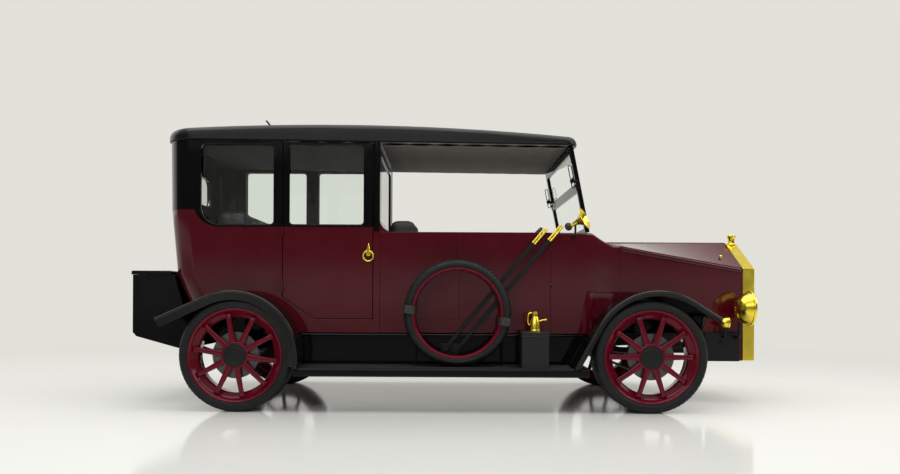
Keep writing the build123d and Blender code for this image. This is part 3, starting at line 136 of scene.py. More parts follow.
join(
    world,
    (world_place.outputs["Generated"], world_axes.inputs["Vector"]),
    (world_axes.outputs["Z"], world_range.inputs["Value"]),
    (world_axes.outputs["Y"], far_side.inputs["Value"]),
    (world_range.outputs["Result"], world_ramp.inputs["Fac"]),
    (world_ramp.outputs["Color"], world_mix.inputs["A"]),
    (backdrop_seen, world_mix.inputs["Factor"]),
    (world_mix.outputs["Result"], world.node_tree.nodes["Background"].inputs["Color"]),
)


def new_material(name, colour, roughness, metallic=0.0):
    """A material with its Principled shader set to plain values, and that shader."""
    material = bpy.data.materials.new(name)
    material.use_nodes = True
    shader = material.node_tree.nodes["Principled BSDF"]
    for key, value in (("Base Color", (*colour, 1)), ("Roughness", roughness), ("Metallic", metallic)):
        shader.inputs[key].default_value = value
    return material, shader


FLOOR_HALF = 40.0
FLOOR_FADE = (3.5, 9.0)
floor_mesh = bpy.data.meshes.new("studio_floor")
floor_corners = [(x * FLOOR_HALF, y * FLOOR_HALF, 0) for x, y in ((-1, -1), (1, -1), (1, 1), (-1, 1))]
floor_mesh.from_pydata(floor_corners, [], [(0, 1, 2, 3)])
studio_floor = bpy.data.objects.new("studio_floor", floor_mesh)
scene.collection.objects.link(studio_floor)
floor_paint, floor_shader = new_material("floor_paint", (0.80, 0.80, 0.77), 0.1)
floor_shader.inputs["Specular IOR Level"].default_value = 0.30
floor_noise = add_node(floor_paint, "ShaderNodeTexNoise", {"Scale": 1.4})
floor_ramp = add_node(floor_paint, "ShaderNodeMapRange", {"To Min": 0.08, "To Max": 0.14})
floor_place = add_node(floor_paint, "ShaderNodeTexCoord")
floor_reach = add_node(floor_paint, "ShaderNodeVectorMath", operation="LENGTH")
floor_fade = add_node(
    floor_paint, "ShaderNodeMapRange", {"From Min": FLOOR_FADE[0], "From Max": FLOOR_FADE[1]},
    interpolation_type="SMOOTHSTEP",
)
floor_glow = add_node(floor_paint, "ShaderNodeEmission", {"Color": BACKDROP})
floor_rays = add_node(floor_paint, "ShaderNodeLightPath").outputs
floor_seen = math_node(floor_paint, "MAXIMUM", floor_rays["Is Camera Ray"], floor_rays["Is Transmission Ray"])
floor_mix = add_node(floor_paint, "ShaderNodeMixShader")
join(
    floor_paint,
    (floor_place.outputs["Object"], floor_noise.inputs["Vector"]),
    (floor_noise.outputs["Fac"], floor_ramp.inputs["Value"]),
    (floor_ramp.outputs["Result"], floor_shader.inputs["Roughness"]),
    (floor_place.outputs["Object"], floor_reach.inputs[0]),
    (floor_reach.outputs["Value"], floor_fade.inputs["Value"]),
    (math_node(floor_paint, "MULTIPLY", floor_seen, floor_fade.outputs["Result"]), floor_mix.inputs["Fac"]),
    (floor_shader.outputs["BSDF"], floor_mix.inputs[1]),
    (floor_glow.outputs["Emission"], floor_mix.inputs[2]),
    (floor_mix.outputs["Shader"], floor_paint.node_tree.nodes["Material Output"].inputs["Surface"]),
)
floor_mesh.materials.append(floor_paint)


# Body shell and doors: steel panels on a frame, filled, sprayed and polished to a deep lacquer.
# Maroon below the waist line and black above it; the split dips round the quarter window's corner.
hand_finish = bpy.data.node_groups.new("hand_finish", "ShaderNodeTree")
for direction, socket_names in (
    ("INPUT", ("Fine Scale", "Slow Scale", "Low", "High")), ("OUTPUT", ("Height", "Roughness")),
):
    for socket_name in socket_names:
        hand_finish.interface.new_socket(socket_name, in_out=direction, socket_type="NodeSocketFloat")
finish_in = add_node(hand_finish, "NodeGroupInput").outputs
finish_out = add_node(hand_finish, "NodeGroupOutput").inputs
finish_place = add_node(hand_finish, "ShaderNodeTexCoord").outputs["Object"]
fine_noise = add_node(hand_finish, "ShaderNodeTexNoise")
slow_noise = add_node(hand_finish, "ShaderNodeTexNoise", {"Detail": 4})
finish_spread = add_node(hand_finish, "ShaderNodeMapRange", {"From Min": 0.3, "From Max": 0.7})
join(
    hand_finish,
    (finish_place, fine_noise.inputs["Vector"]),
    (finish_place, slow_noise.inputs["Vector"]),
    (finish_in["Fine Scale"], fine_noise.inputs["Scale"]),
    (finish_in["Slow Scale"], slow_noise.inputs["Scale"]),
    (slow_noise.outputs["Fac"], finish_spread.inputs["Value"]),
    (finish_in["Low"], finish_spread.inputs["To Min"]),
    (finish_in["High"], finish_spread.inputs["To Max"]),
    (fine_noise.outputs["Fac"], finish_out["Height"]),
    (finish_spread.outputs["Result"], finish_out["Roughness"]),
)


def finished(name, colour, fine, slow, roughness, bump, depth=0.0002, metallic=0.0, sheen=0.5):
    """A hand-finished material, and its shader, with fine bumps and roughness between two limits."""
    material, shader = new_material(name, colour, sum(roughness) / 2, metallic)
    shader.inputs["Specular IOR Level"].default_value = sheen
    scales = {"Fine Scale": fine, "Slow Scale": slow, "Low": roughness[0], "High": roughness[1]}
    group = add_node(material, "ShaderNodeGroup", scales, node_tree=hand_finish, name="finish")
    relief = add_node(material, "ShaderNodeBump", {"Strength": bump, "Distance": depth})
    join(
        material,
        (group.outputs["Height"], relief.inputs["Height"]),
        (relief.outputs["Normal"], shader.inputs["Normal"]),
        (group.outputs["Roughness"], shader.inputs["Roughness"]),
    )
    return material, shader


def lacquer(name, colour, sheen):
    """Deep polished lacquer of one colour, and its shader."""
    return finished(name, colour, 900, 5, (0.06, 0.14), 0.03, sheen=sheen)


MAROON = (0.068, 0.0018, 0.0065)
BLACK = (0.0028, 0.0029, 0.003)
MAROON_SHEEN = 0.40
BLACK_SHEEN = 0.16
maroon_lacquer = lacquer("maroon_lacquer", MAROON, MAROON_SHEEN)[0]
black_lacquer = lacquer("black_lacquer", BLACK, BLACK_SHEEN)[0]
two_tone, two_tone_shader = lacquer("two_tone_lacquer", MAROON, MAROON_SHEEN)
SPLIT_HIGH = 1.322
SPLIT_CENTRE = (-1.538, 1.349)
SPLIT_RADII = (0.170, 0.141)
split_place = add_node(two_tone, "ShaderNodeTexCoord")
split_axes = add_node(two_tone, "ShaderNodeSeparateXYZ")
join(two_tone, (split_place.outputs["Object"], split_axes.inputs["Vector"]))
along = math_node(two_tone, "SUBTRACT", SPLIT_CENTRE[0], split_axes.outputs["X"])
along = math_node(two_tone, "DIVIDE", along, SPLIT_RADII[0])
along = math_node(two_tone, "MINIMUM", math_node(two_tone, "MAXIMUM", along, 0.0), 1.0)
arc = math_node(two_tone, "SUBTRACT", 1.0, math_node(two_tone, "MULTIPLY", along, along))
arc = math_node(two_tone, "MULTIPLY", math_node(two_tone, "SQRT", arc), SPLIT_RADII[1])
split_line = math_node(two_tone, "SUBTRACT", SPLIT_CENTRE[1], arc)
split_line = math_node(two_tone, "MINIMUM", split_line, SPLIT_HIGH)
above_split = math_node(two_tone, "GREATER_THAN", split_axes.outputs["Z"], split_line)
split_mix = add_node(two_tone, "ShaderNodeMix", {"A": (*MAROON, 1), "B": (*BLACK, 1)}, data_type="RGBA")
split_sheen = math_node(two_tone, "MULTIPLY", above_split, BLACK_SHEEN - MAROON_SHEEN)
split_sheen = math_node(two_tone, "ADD", split_sheen, MAROON_SHEEN)
join(
    two_tone,
    (above_split, split_mix.inputs["Factor"]),
    (split_mix.outputs["Result"], two_tone_shader.inputs["Base Color"]),
    (split_sheen, two_tone_shader.inputs["Specular IOR Level"]),
)


def clear_data(obj):
    """Leave a made object as a plain mesh: modifiers worked in and then removed."""
    mesh = bpy.data.meshes.new_from_object(obj.evaluated_get(bpy.context.evaluated_depsgraph_get()))
    obj.modifiers.clear()
    obj.data = mesh
    return obj


def new_object(name, bm, *materials):
    """Turn a bmesh into a linked object with its materials."""
    mesh = bpy.data.meshes.new(name)
    bm.to_mesh(mesh)
    bm.free()
    for material in materials:
        mesh.materials.append(material)
    obj = bpy.data.objects.new(name, mesh)
    scene.collection.objects.link(obj)
    return obj


def smooth(obj, angle=35):
    """Shade smooth, with edges sharper than the angle left sharp."""
    obj.data.polygons.foreach_set("use_smooth", [True] * len(obj.data.polygons))
    obj.data.set_sharp_from_angle(angle=radians(angle))
    return obj


def fitted(obj, body, replaced=None):
    """Give a piece its body and, if it stands for a CAD node, hide that node."""
    if replaced:
        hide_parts(replaced)
    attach(obj, body)
    return obj


def eased_panel(node, material, ease, body="chassis", segments=2):
    """The node's own form with its edges eased by a small round, in place of the plain solid."""
    bm = bmesh.new()
    bm.from_mesh(nodes[node].data)
    bmesh.ops.remove_doubles(bm, verts=bm.verts, dist=1e-5)
    bmesh.ops.dissolve_limit(bm, angle_limit=radians(0.4), verts=bm.verts, edges=bm.edges)
    obj = new_object(f"{node}_panel", bm, material)
    obj.data.polygons.foreach_set("use_smooth", [True] * len(obj.data.polygons))
    bevel = obj.modifiers.new("ease", "BEVEL")
    bevel.width = ease
    bevel.segments = segments
    bevel.limit_method = "ANGLE"
    bevel.angle_limit = radians(35)
    bevel.miter_outer = "MITER_ARC"
    obj.modifiers.new("even", "WEIGHTED_NORMAL").weight = 100
    fitted(clear_data(obj), body, node)


eased_panel("rear_body", two_tone, 0.004)
eased_panel("rear_door_right", two_tone, 0.004, "right_rear_door")
eased_panel("rear_door_left", two_tone, 0.004, "left_rear_door")
eased_panel("front_sides", maroon_lacquer, 0.006)
eased_panel("front_door_left", maroon_lacquer, 0.006, "left_front_door")
eased_panel("bonnet_sides", maroon_lacquer, 0.003)
eased_panel("bonnet_lid_right", maroon_lacquer, 0.002, "right_bonnet_lid")
eased_panel("bonnet_lid_left", maroon_lacquer, 0.002, "left_bonnet_lid")


# Roof and headlining: a padded steel roof, sprayed satin black, with a drip bead along its lower edge.
# Inside, warm grey cloth is stretched under it in two pieces, one each side of the partition; the rear piece
# is coloured much darker as painted shade of the closed rear compartment.
SIDES = (("right", -1), ("left", 1))
roof_black = finished("roof_black", (0.0045, 0.0048, 0.005), 420, 3, (0.22, 0.34), 0.10, sheen=0.22)[0]
eased_panel("roof", roof_black, 0.004)
ROOF_EDGE = ((-1.925, 1.792), (0.865, 1.762))


def roof_edge_z(x):
    """Height of the roof's lower edge at x."""
    (x0, z0), (x1, z1) = ROOF_EDGE
    return z0 + (x - x0) / (x1 - x0) * (z1 - z0)


def tube(name, points, radius, material, body, cyclic=False, resolution=4):
    """A round bar or bead along points, as a plain mesh that rides on a body."""
    curve = bpy.data.curves.new(name, "CURVE")
    curve.dimensions = "3D"
    curve.bevel_depth = radius
    curve.bevel_resolution = resolution
    curve.use_fill_caps = True
    spline = curve.splines.new("POLY")
    spline.points.add(len(points) - 1)
    for point, place in zip(spline.points, points):
        point.co = (*place, 1)
    spline.use_cyclic_u = cyclic
    holder = bpy.data.objects.new(name, curve)
    scene.collection.objects.link(holder)
    mesh = bpy.data.meshes.new_from_object(holder.evaluated_get(bpy.context.evaluated_depsgraph_get()))
    bpy.data.objects.remove(holder)
    mesh.materials.clear()
    mesh.materials.append(material)
    obj = bpy.data.objects.new(name, mesh)
    scene.collection.objects.link(obj)
    return fitted(smooth(obj, 50), body)


def thicken(obj, thickness, offset):
    """Give an open sheet its thickness."""
    sheet = obj.modifiers.new("sheet", "SOLIDIFY")
    sheet.thickness = thickness
    sheet.offset = offset
    return clear_data(obj)


def weave_quads(bm, rows):
    """Faces of an open sheet between rows of vertices of equal length."""
    for row, after in zip(rows, rows[1:]):
        for i in range(len(row) - 1):
            bm.faces.new((row[i], row[i + 1], after[i + 1], after[i]))
    bmesh.ops.recalc_face_normals(bm, faces=bm.faces)


LINING_HALF = 0.570
LINING_DROP = (0.003, 0.006)
LINING_BOWS = 7
LINING_COLUMNS = 42
lining_rows = (
    # name, rear end, front end, colour; the rear colour is darkened as painted shade
    ("rear_headlining", -1.80, -0.497, (0.050, 0.046, 0.041)),
    ("front_headlining", -0.452, 0.800, (0.160, 0.148, 0.130)),
)
for lining_name, start, end, colour in lining_rows:
    cloth, cloth_shader = new_material(lining_name, colour, 0.9)
    weave = add_node(cloth, "ShaderNodeTexWave", {"Scale": 260, "Distortion": 1.5}, bands_direction="X")
    weave_relief = add_node(cloth, "ShaderNodeBump", {"Strength": 0.25, "Distance": 0.0006})
    join(
        cloth,
        (add_node(cloth, "ShaderNodeTexCoord").outputs["Object"], weave.inputs["Vector"]),
        (weave.outputs["Fac"], weave_relief.inputs["Height"]),
        (weave_relief.outputs["Normal"], cloth_shader.inputs["Normal"]),
    )
    bm = bmesh.new()
    grid = []
    for i in range(LINING_COLUMNS + 1):
        x = start + (end - start) * i / LINING_COLUMNS
        drop = LINING_DROP[0] + LINING_DROP[1] * abs(sin(pi * LINING_BOWS * i / LINING_COLUMNS))
        grid.append([bm.verts.new((x, LINING_HALF * (j / 6 - 1), roof_edge_z(x) - drop)) for j in range(13)])
    weave_quads(bm, grid)
    lining = thicken(new_object(lining_name, bm, cloth), 0.002, 0)
    fitted(smooth(lining), "chassis")

DRIP_RADIUS = 0.006
DRIP_LIFT = 0.010
ROOF_HALF = 0.635
for side_name, side in SIDES:
    drip = [(x, side * ROOF_HALF, roof_edge_z(x) + DRIP_LIFT) for x in (-1.715, -0.9, 0.0, 0.785)]
    tube(f"drip_bead_{side_name}", drip, DRIP_RADIUS, black_lacquer, "chassis")


# Glass: flat polished panes, faintly green, in the doors, quarters, back, partition and windscreen.
# Each opening has a rolled black bead round it that holds the pane.
def dress(material, *node_names):
    """Give CAD pieces that keep their own form a better finish."""
    for node in node_names:
        for material_slot in nodes[node].material_slots:
            material_slot.material = material


window_glass, glass_shader = finished("window_glass", (0.93, 0.97, 0.94), 40, 4, (0.0, 0.02), 0.01)
glass_shader.inputs["Transmission Weight"].default_value = 1.0
glass_shader.inputs["IOR"].default_value = 1.3
dress(window_glass, "body_glass", "rear_door_glass_right", "rear_door_glass_left", "windscreen_glass")
BEAD_RADIUS = 0.007
BODY_HALF = 0.620
SILL_Z = 1.219
WINDOW_TOP = 1.762
QUARTER_WINDOW = (-1.668, -1.169)
DOOR_WINDOW = (-1.073, -0.564)
WINDOW_CORNER = 0.030
QUARTER_CORNER = 0.130


def window_outline(left, right, first_corner, y):
    """Points round a window from its lower left corner, which has a radius of its own."""
    corners = (
        (left, SILL_Z, 1, 1, 180), (right, SILL_Z, -1, 1, 270), (right, WINDOW_TOP, -1, -1, 0),
        (left, WINDOW_TOP, 1, -1, 90),
    )
    points = []
    radius = first_corner
    for x, z, dx, dz, turn in corners:
        for step in range(9):
            angle = radians(turn + 90 * step / 8)
            points.append((x + dx * radius + radius * cos(angle), y, z + dz * radius + radius * sin(angle)))
        radius = WINDOW_CORNER
    return points


for side_name, side in SIDES:
    for bead_name, window, corner, body in (
        ("quarter_bead", QUARTER_WINDOW, QUARTER_CORNER, "chassis"),
        ("door_bead", DOOR_WINDOW, WINDOW_CORNER, f"{side_name}_rear_door"),
    ):
        outline = window_outline(*window, corner, side * BODY_HALF)
        tube(f"{bead_name}_{side_name}", outline, BEAD_RADIUS, black_lacquer, body, True)
eased_panel("windscreen_frame", black_lacquer, 0.004)
eased_panel("partition", black_lacquer, 0.003)


# Wheels: a rolled steel rim with ten tapered round-edged spokes from a flanged hub, stove-enamelled maroon.
# A plain black pressed cap with two steps covers each hub.
wheel_enamel = lacquer("wheel_enamel", (0.120, 0.0036, 0.013), 0.20)[0]
cap_black = finished("cap_black", (0.007, 0.0072, 0.0075), 300, 12, (0.34, 0.48), 0.08, sheen=0.25)[0]


def skin(bm, rings, closed=False, capped=False):
    """Faces through rings of points of equal length; closed joins the last ring to the first."""
    rows = [[bm.verts.new(place) for place in ring] for ring in rings]
    for lower, upper in zip(rows, rows[1:] + rows[:1] if closed else rows[1:]):
        for i in range(len(lower)):
            j = (i + 1) % len(lower)
            bm.faces.new((lower[i], lower[j], upper[j], upper[i]))
    if capped:
        bm.faces.new(rows[0])
        bm.faces.new(rows[-1])
    bmesh.ops.recalc_face_normals(bm, faces=bm.faces)


def lathe(name, profile, axis, segments, material=None, closed=False):
    """An object turned from a profile of (radius, distance) round an axis through the origin."""
    quarter, about = {"X": (pi / 2, "Y"), "Y": (-pi / 2, "X"), "Z": (0.0, "Z")}[axis]
    spin = Matrix.Rotation(quarter, 3, about)
    turns = [2 * pi * step / segments for step in range(segments)]
    bm = bmesh.new()
    skin(bm, [
        [spin @ Vector((radius * cos(turn), radius * sin(turn), distance)) for turn in turns]
        for radius, distance in profile
    ], closed)
    bmesh.ops.remove_doubles(bm, verts=bm.verts, dist=1e-6)
    bmesh.ops.dissolve_degenerate(bm, dist=1e-7, edges=bm.edges)
    bmesh.ops.recalc_face_normals(bm, faces=bm.faces)
    return new_object(name, bm, *([material] if material else []))


def rounded_bar(name, stations, corner=0.7):
    """A bar along +X through stations of (x, width along Z, thickness along Y, middle in Y), ends closed."""
    turns = [2 * pi * step / 16 for step in range(16)]
    rounds = [[copysign(abs(part) ** corner, part) for part in (cos(turn), sin(turn))] for turn in turns]
    bm = bmesh.new()
    skin(bm, [
        [(x, middle + thickness / 2 * across, width / 2 * up) for across, up in rounds]
        for x, width, thickness, middle in stations
    ], capped=True)
    return new_object(name, bm)


row_or_ring = bpy.data.node_groups.new("row_or_ring", "GeometryNodeTree")
for socket_name, kind in (
    ("Piece", "Object"), ("Count", "Int"), ("First Place", "Vector"), ("Step", "Vector"),
    ("First Angle", "Float"), ("Turn", "Float"), ("Finish", "Material"),
):
    row_or_ring.interface.new_socket(socket_name, in_out="INPUT", socket_type=f"NodeSocket{kind}")
row_or_ring.interface.new_socket("Geometry", in_out="OUTPUT", socket_type="NodeSocketGeometry")
given = add_node(row_or_ring, "NodeGroupInput").outputs
line = add_node(row_or_ring, "GeometryNodeMeshLine")
piece = add_node(row_or_ring, "GeometryNodeObjectInfo")
index = add_node(row_or_ring, "GeometryNodeInputIndex")
angle = add_node(row_or_ring, "ShaderNodeMath", operation="MULTIPLY_ADD")
rotation = add_node(row_or_ring, "ShaderNodeCombineXYZ")
repeat = add_node(row_or_ring, "GeometryNodeInstanceOnPoints")
realize = add_node(row_or_ring, "GeometryNodeRealizeInstances")
paint = add_node(row_or_ring, "GeometryNodeSetMaterial")
join(
    row_or_ring,
    (given["Count"], line.inputs["Count"]),
    (given["First Place"], line.inputs["Start Location"]),
    (given["Step"], line.inputs["Offset"]),
    (given["Piece"], piece.inputs["Object"]),
    (index.outputs["Index"], angle.inputs[0]),
    (given["Turn"], angle.inputs[1]),
    (given["First Angle"], angle.inputs[2]),
    (angle.outputs["Value"], rotation.inputs["Y"]),
    (line.outputs["Mesh"], repeat.inputs["Points"]),
    (piece.outputs["Geometry"], repeat.inputs["Instance"]),
    (rotation.outputs["Vector"], repeat.inputs["Rotation"]),
    (repeat.outputs["Instances"], realize.inputs["Geometry"]),
    (realize.outputs["Geometry"], paint.inputs["Geometry"]),
    (given["Finish"], paint.inputs["Material"]),
    (paint.outputs["Geometry"], add_node(row_or_ring, "NodeGroupOutput").inputs["Geometry"]),
)


def repeated(name, pattern, count, finish, **values):
    """A pattern repeated along a straight row or round the Y axis, as one plain mesh object."""
    values |= {"piece": pattern, "count": count, "finish": finish}
    holder = new_object(name, bmesh.new())
    modifier = holder.modifiers.new(name, "NODES")
    modifier.node_group = row_or_ring
    for item in row_or_ring.interface.items_tree:
        key = item.name.replace(" ", "_").lower()
        if item.in_out == "INPUT" and key in values:
            modifier[item.identifier] = values[key]
    return clear_data(holder)


SPOKES = 10
spoke_pattern = rounded_bar("spoke_pattern", (
    (0.070, 0.050, 0.024, 0.0810), (0.095, 0.043, 0.024, 0.0810), (0.150, 0.036, 0.023, 0.0810),
    (0.215, 0.031, 0.022, 0.0800), (0.240, 0.032, 0.024, 0.0770), (0.262, 0.034, 0.028, 0.0715),
    (0.270, 0.044, 0.022, 0.0690),
))
RIM_SECTION = (
    # radius, distance out from the wheel's middle, as in the next two
    (0.2965, 0.0945), (0.3000, 0.0962), (0.3028, 0.0950), (0.3030, 0.0900), (0.2905, 0.0885),
    (0.2880, 0.0800), (0.2880, -0.0800), (0.2905, -0.0885), (0.3030, -0.0900), (0.3028, -0.0945),
    (0.2980, -0.0950), (0.2840, -0.0935), (0.2600, -0.0680), (0.2510, -0.0580), (0.2440, 0.0300),
    (0.2430, 0.0420), (0.2450, 0.0480), (0.2520, 0.0530), (0.2640, 0.0610), (0.2760, 0.0710),
    (0.2850, 0.0810), (0.2900, 0.0895),
)
HUB_SECTION = (
    (0.0, 0.0945), (0.0745, 0.0945), (0.0760, 0.0952), (0.0800, 0.0952), (0.0850, 0.0940),
    (0.0880, 0.0905), (0.0880, 0.0740), (0.0850, 0.0690), (0.0500, 0.0640), (0.0300, 0.0632),
    (0.0260, 0.0635), (0.0260, 0.0918), (0.0, 0.0918),
)
CAP_SECTION = (
    (0.0735, 0.0940), (0.0740, 0.0975), (0.0725, 0.0990), (0.0600, 0.0996), (0.0580, 0.0985),
    (0.0560, 0.0985), (0.0540, 0.1000), (0.0500, 0.1007), (0.0330, 0.1010), (0.0315, 0.0996),
    (0.0290, 0.0996), (0.0275, 0.1008), (0.0200, 0.1012), (0.0, 0.1013),
)


def placed(obj, place, outward):
    """Move a wheel-like piece, made round the origin with its face to +Y, to its place and side."""
    if outward < 0:
        obj.data.transform(Matrix.Rotation(pi, 4, "Z"))
    obj.data.transform(Matrix.Translation(place))
    return obj


def made_one(name, *parts):
    """Join finished pieces with like finishes into one mesh object."""
    bm = bmesh.new()
    for part in parts:
        bm.from_mesh(part.data)
    materials = list(parts[0].data.materials)
    for part in parts:
        bpy.data.objects.remove(part)
    return new_object(name, bm, *materials)


HALF_TRACK = 0.770
TYRE_RADIUS = 0.362
wheel_rows = []
for axle_name, axle_x, spoke_angle in (("front", 1.304, 0), ("rear", -1.366, 8)):
    for side_name, side in SIDES:
        wheel_centre = (axle_x, side * HALF_TRACK, TYRE_RADIUS)
        wheel_rows.append((f"{axle_name}_{side_name}", wheel_centre, side, spoke_angle))
for wheel_name, centre, side, spoke_angle in wheel_rows:
    rim = lathe("rim", RIM_SECTION, "Y", 96, wheel_enamel, closed=True)
    hub = lathe("hub", HUB_SECTION, "Y", 64, wheel_enamel)
    spokes = repeated(
        "spokes", spoke_pattern, SPOKES, wheel_enamel, turn=2 * pi / SPOKES,
        first_angle=radians(-spoke_angle),
    )
    wheel = smooth(made_one(f"wheel_{wheel_name}_enamelled", rim, hub, spokes), 50)
    fitted(placed(wheel, centre, side), f"{wheel_name}_wheel", f"wheel_{wheel_name}")
    cap = smooth(lathe(f"hub_cap_{wheel_name}", CAP_SECTION, "Y", 64, cap_black), 30)
    fitted(placed(cap, centre, side), f"{wheel_name}_wheel")
bpy.data.objects.remove(spoke_pattern)


# Tyres: black moulded rubber on the rims, with three grooves round the tread and lugs cut on its shoulders.
# The side walls have fine raised rings and a plain flat band.
rubber = finished("tyre_rubber", (0.0080, 0.0088, 0.0088), 420, 14, (0.46, 0.66), 0.25, 0.0004, sheen=0.25)[0]
GROOVE_DEPTH = 0.007
GROOVE_HALF = 0.004
GROOVE_EDGE = 0.001
TYRE_SIDE = (
    # radius, distance from the tyre's middle
    (0.2890, 0.0800), (0.2900, 0.0868), (0.2960, 0.0878), (0.3035, 0.0902), (0.3055, 0.0955),
    (0.3080, 0.0975), (0.3100, 0.0970), (0.3130, 0.0995), (0.3150, 0.0990), (0.3180, 0.1010),
    (0.3200, 0.1022), (0.3215, 0.1012), (0.3300, 0.1016), (0.3315, 0.1024), (0.3335, 0.1013),
    (0.3400, 0.1006), (0.3412, 0.1012), (0.3460, 0.0990), (0.3520, 0.0945), (0.3555, 0.0890),
    (0.3590, 0.0840), (0.3612, 0.0770),
)
tread = []
for groove in (0.048, 0.0, -0.048):
    tread += [
        (TYRE_RADIUS, groove + GROOVE_HALF + GROOVE_EDGE), (TYRE_RADIUS - GROOVE_DEPTH, groove + GROOVE_HALF),
        (TYRE_RADIUS - GROOVE_DEPTH, groove - GROOVE_HALF), (TYRE_RADIUS, groove - GROOVE_HALF - GROOVE_EDGE),
    ]
tyre_section = [*TYRE_SIDE, *tread, *((radius, -offset) for radius, offset in reversed(TYRE_SIDE))]
LUGS = 72
lug_pattern = rounded_bar("lug_pattern", (
    (0.3475, 0.0085, 0.010, 0.0930), (0.3540, 0.0085, 0.012, 0.0880), (0.3590, 0.0085, 0.014, 0.0805),
    (0.3612, 0.0085, 0.016, 0.0740),
), 0.5)


def moulded_tyre(name, section, segments, pattern, count, stagger, centre, side):
    """A tyre of one section with a ring of bars on each shoulder, the far ring turned on by stagger."""
    carcass = lathe("carcass", section, "Y", segments, rubber, closed=True)
    near_bars = repeated("near_bars", pattern, count, rubber, turn=2 * pi / count)
    far_bars = repeated("far_bars", pattern, count, rubber, turn=2 * pi / count, first_angle=stagger)
    far_bars.data.transform(Matrix.Rotation(pi, 4, "Z"))
    return placed(smooth(made_one(f"{name}_moulded", carcass, near_bars, far_bars), 40), centre, side)


for wheel_name, centre, side, spoke_angle in wheel_rows:
    node = f"tyre_{wheel_name}"
    tyre = moulded_tyre(node, tyre_section, 144, lug_pattern, LUGS, pi / LUGS, centre, side)
    fitted(tyre, f"{wheel_name}_wheel", node)


# Spare tyre: a round-shouldered tyre of the same rubber, stood on the right running board.
# Its tread bars are moulded aslant.
SPARE_CENTRE = (0.060, -0.725, 0.638)
SPARE_BARS = 84
BAR_SLANT = 0.35
BAR_START = 0.055
SPARE_SIDE = (
    # radius, distance from the tyre's middle
    (0.2985, 0.0560), (0.3000, 0.0590), (0.3040, 0.0620), (0.3055, 0.0655), (0.3080, 0.0650),
    (0.3150, 0.0685), (0.3165, 0.0693), (0.3190, 0.0690), (0.3270, 0.0670), (0.3350, 0.0610),
    (0.3420, 0.0520), (0.3470, 0.0400), (0.3492, 0.0240),
)
spare_section = [*SPARE_SIDE, (0.3500, 0.0), *((radius, -offset) for radius, offset in reversed(SPARE_SIDE))]
tread_pattern = rounded_bar("tread_pattern", (
    (0.3365, 0.0095, 0.010, 0.0550), (0.3425, 0.0095, 0.012, 0.0500), (0.3475, 0.0095, 0.016, 0.0400),
    (0.3515, 0.0095, 0.020, 0.0290), (0.3530, 0.0095, 0.022, 0.0170),
), 0.5)
for vert in tread_pattern.data.vertices:
    vert.co.z += BAR_SLANT * (BAR_START - vert.co.y)
spare_tyre = moulded_tyre("spare_tyre", spare_section, 120, tread_pattern, SPARE_BARS, 0.0, SPARE_CENTRE, -1)
fitted(spare_tyre, "chassis", "spare_tyre")
for pattern in (lug_pattern, tread_pattern):
    bpy.data.objects.remove(pattern)


# Chassis: pressed steel rails and cross members, springs of stacked leaves, forged axles and knuckles.
# All of it is brushed over with one coat of satin black; the engine block and the brake discs are bare.
chassis_black = finished(
    "chassis_black", (0.0065, 0.0068, 0.007), 260, 9, (0.36, 0.58), 0.15, 0.0004, sheen=0.25,
)[0]
cast_iron = finished("cast_iron", (0.11, 0.11, 0.105), 520, 16, (0.48, 0.72), 0.4, 0.0006, 0.6)[0]
disc_steel = finished("disc_steel", (0.11, 0.11, 0.108), 300, 20, (0.28, 0.45), 0.1, metallic=1.0)[0]
eased_panel("frame_rails", chassis_black, 0.004)
dress(chassis_black, "cross_members", "leaf_springs", "front_axle", "rear_axle")
dress(chassis_black, "knuckle_right", "knuckle_left", "tie_rod", "bonnet_hinge_rod")
dress(cast_iron, "engine_block")
DISC_FACE = (
    # radius, distance out from the wheel's middle
    (0.0900, 0.0622), (0.1490, 0.0622), (0.1500, 0.0630), (0.1490, 0.0640), (0.0900, 0.0640),
    (0.0890, 0.0630),
)
for wheel_name, centre, side, spoke_angle in wheel_rows:
    axle_name, side_name = wheel_name.split("_")
    disc = smooth(lathe(f"brake_disc_{wheel_name}", DISC_FACE, "Y", 72, disc_steel, closed=True), 30)
    fitted(placed(disc, centre, side), f"{side_name}_knuckle" if axle_name == "front" else "chassis")


# Fenders: rolled steel wings, gloss black, with a wired bead round the outer edge.
# Each sweeps down to meet its running board; a sheet behind each one keeps the splashes off the body.
def tangent_point(centre, radius, point, turn):
    """Angle on a circle where the line from an outside point touches it."""
    offset = Vector(point) - Vector(centre)
    return atan2(offset.y, offset.x) + turn * acos(radius / offset.length)


def fender_edge(centre, radius, tip, turn, last_angle, tail=None):
    """Points of (x, z) from a fender's tip over its arc to its foot."""
    first = tangent_point(centre, radius, tip, turn)
    points = [tip]
    for step in range(41):
        angle = first + (last_angle - first) * step / 40
        points.append((centre[0] + radius * cos(angle), centre[1] + radius * sin(angle)))
    return points + ([tail] if tail else [])


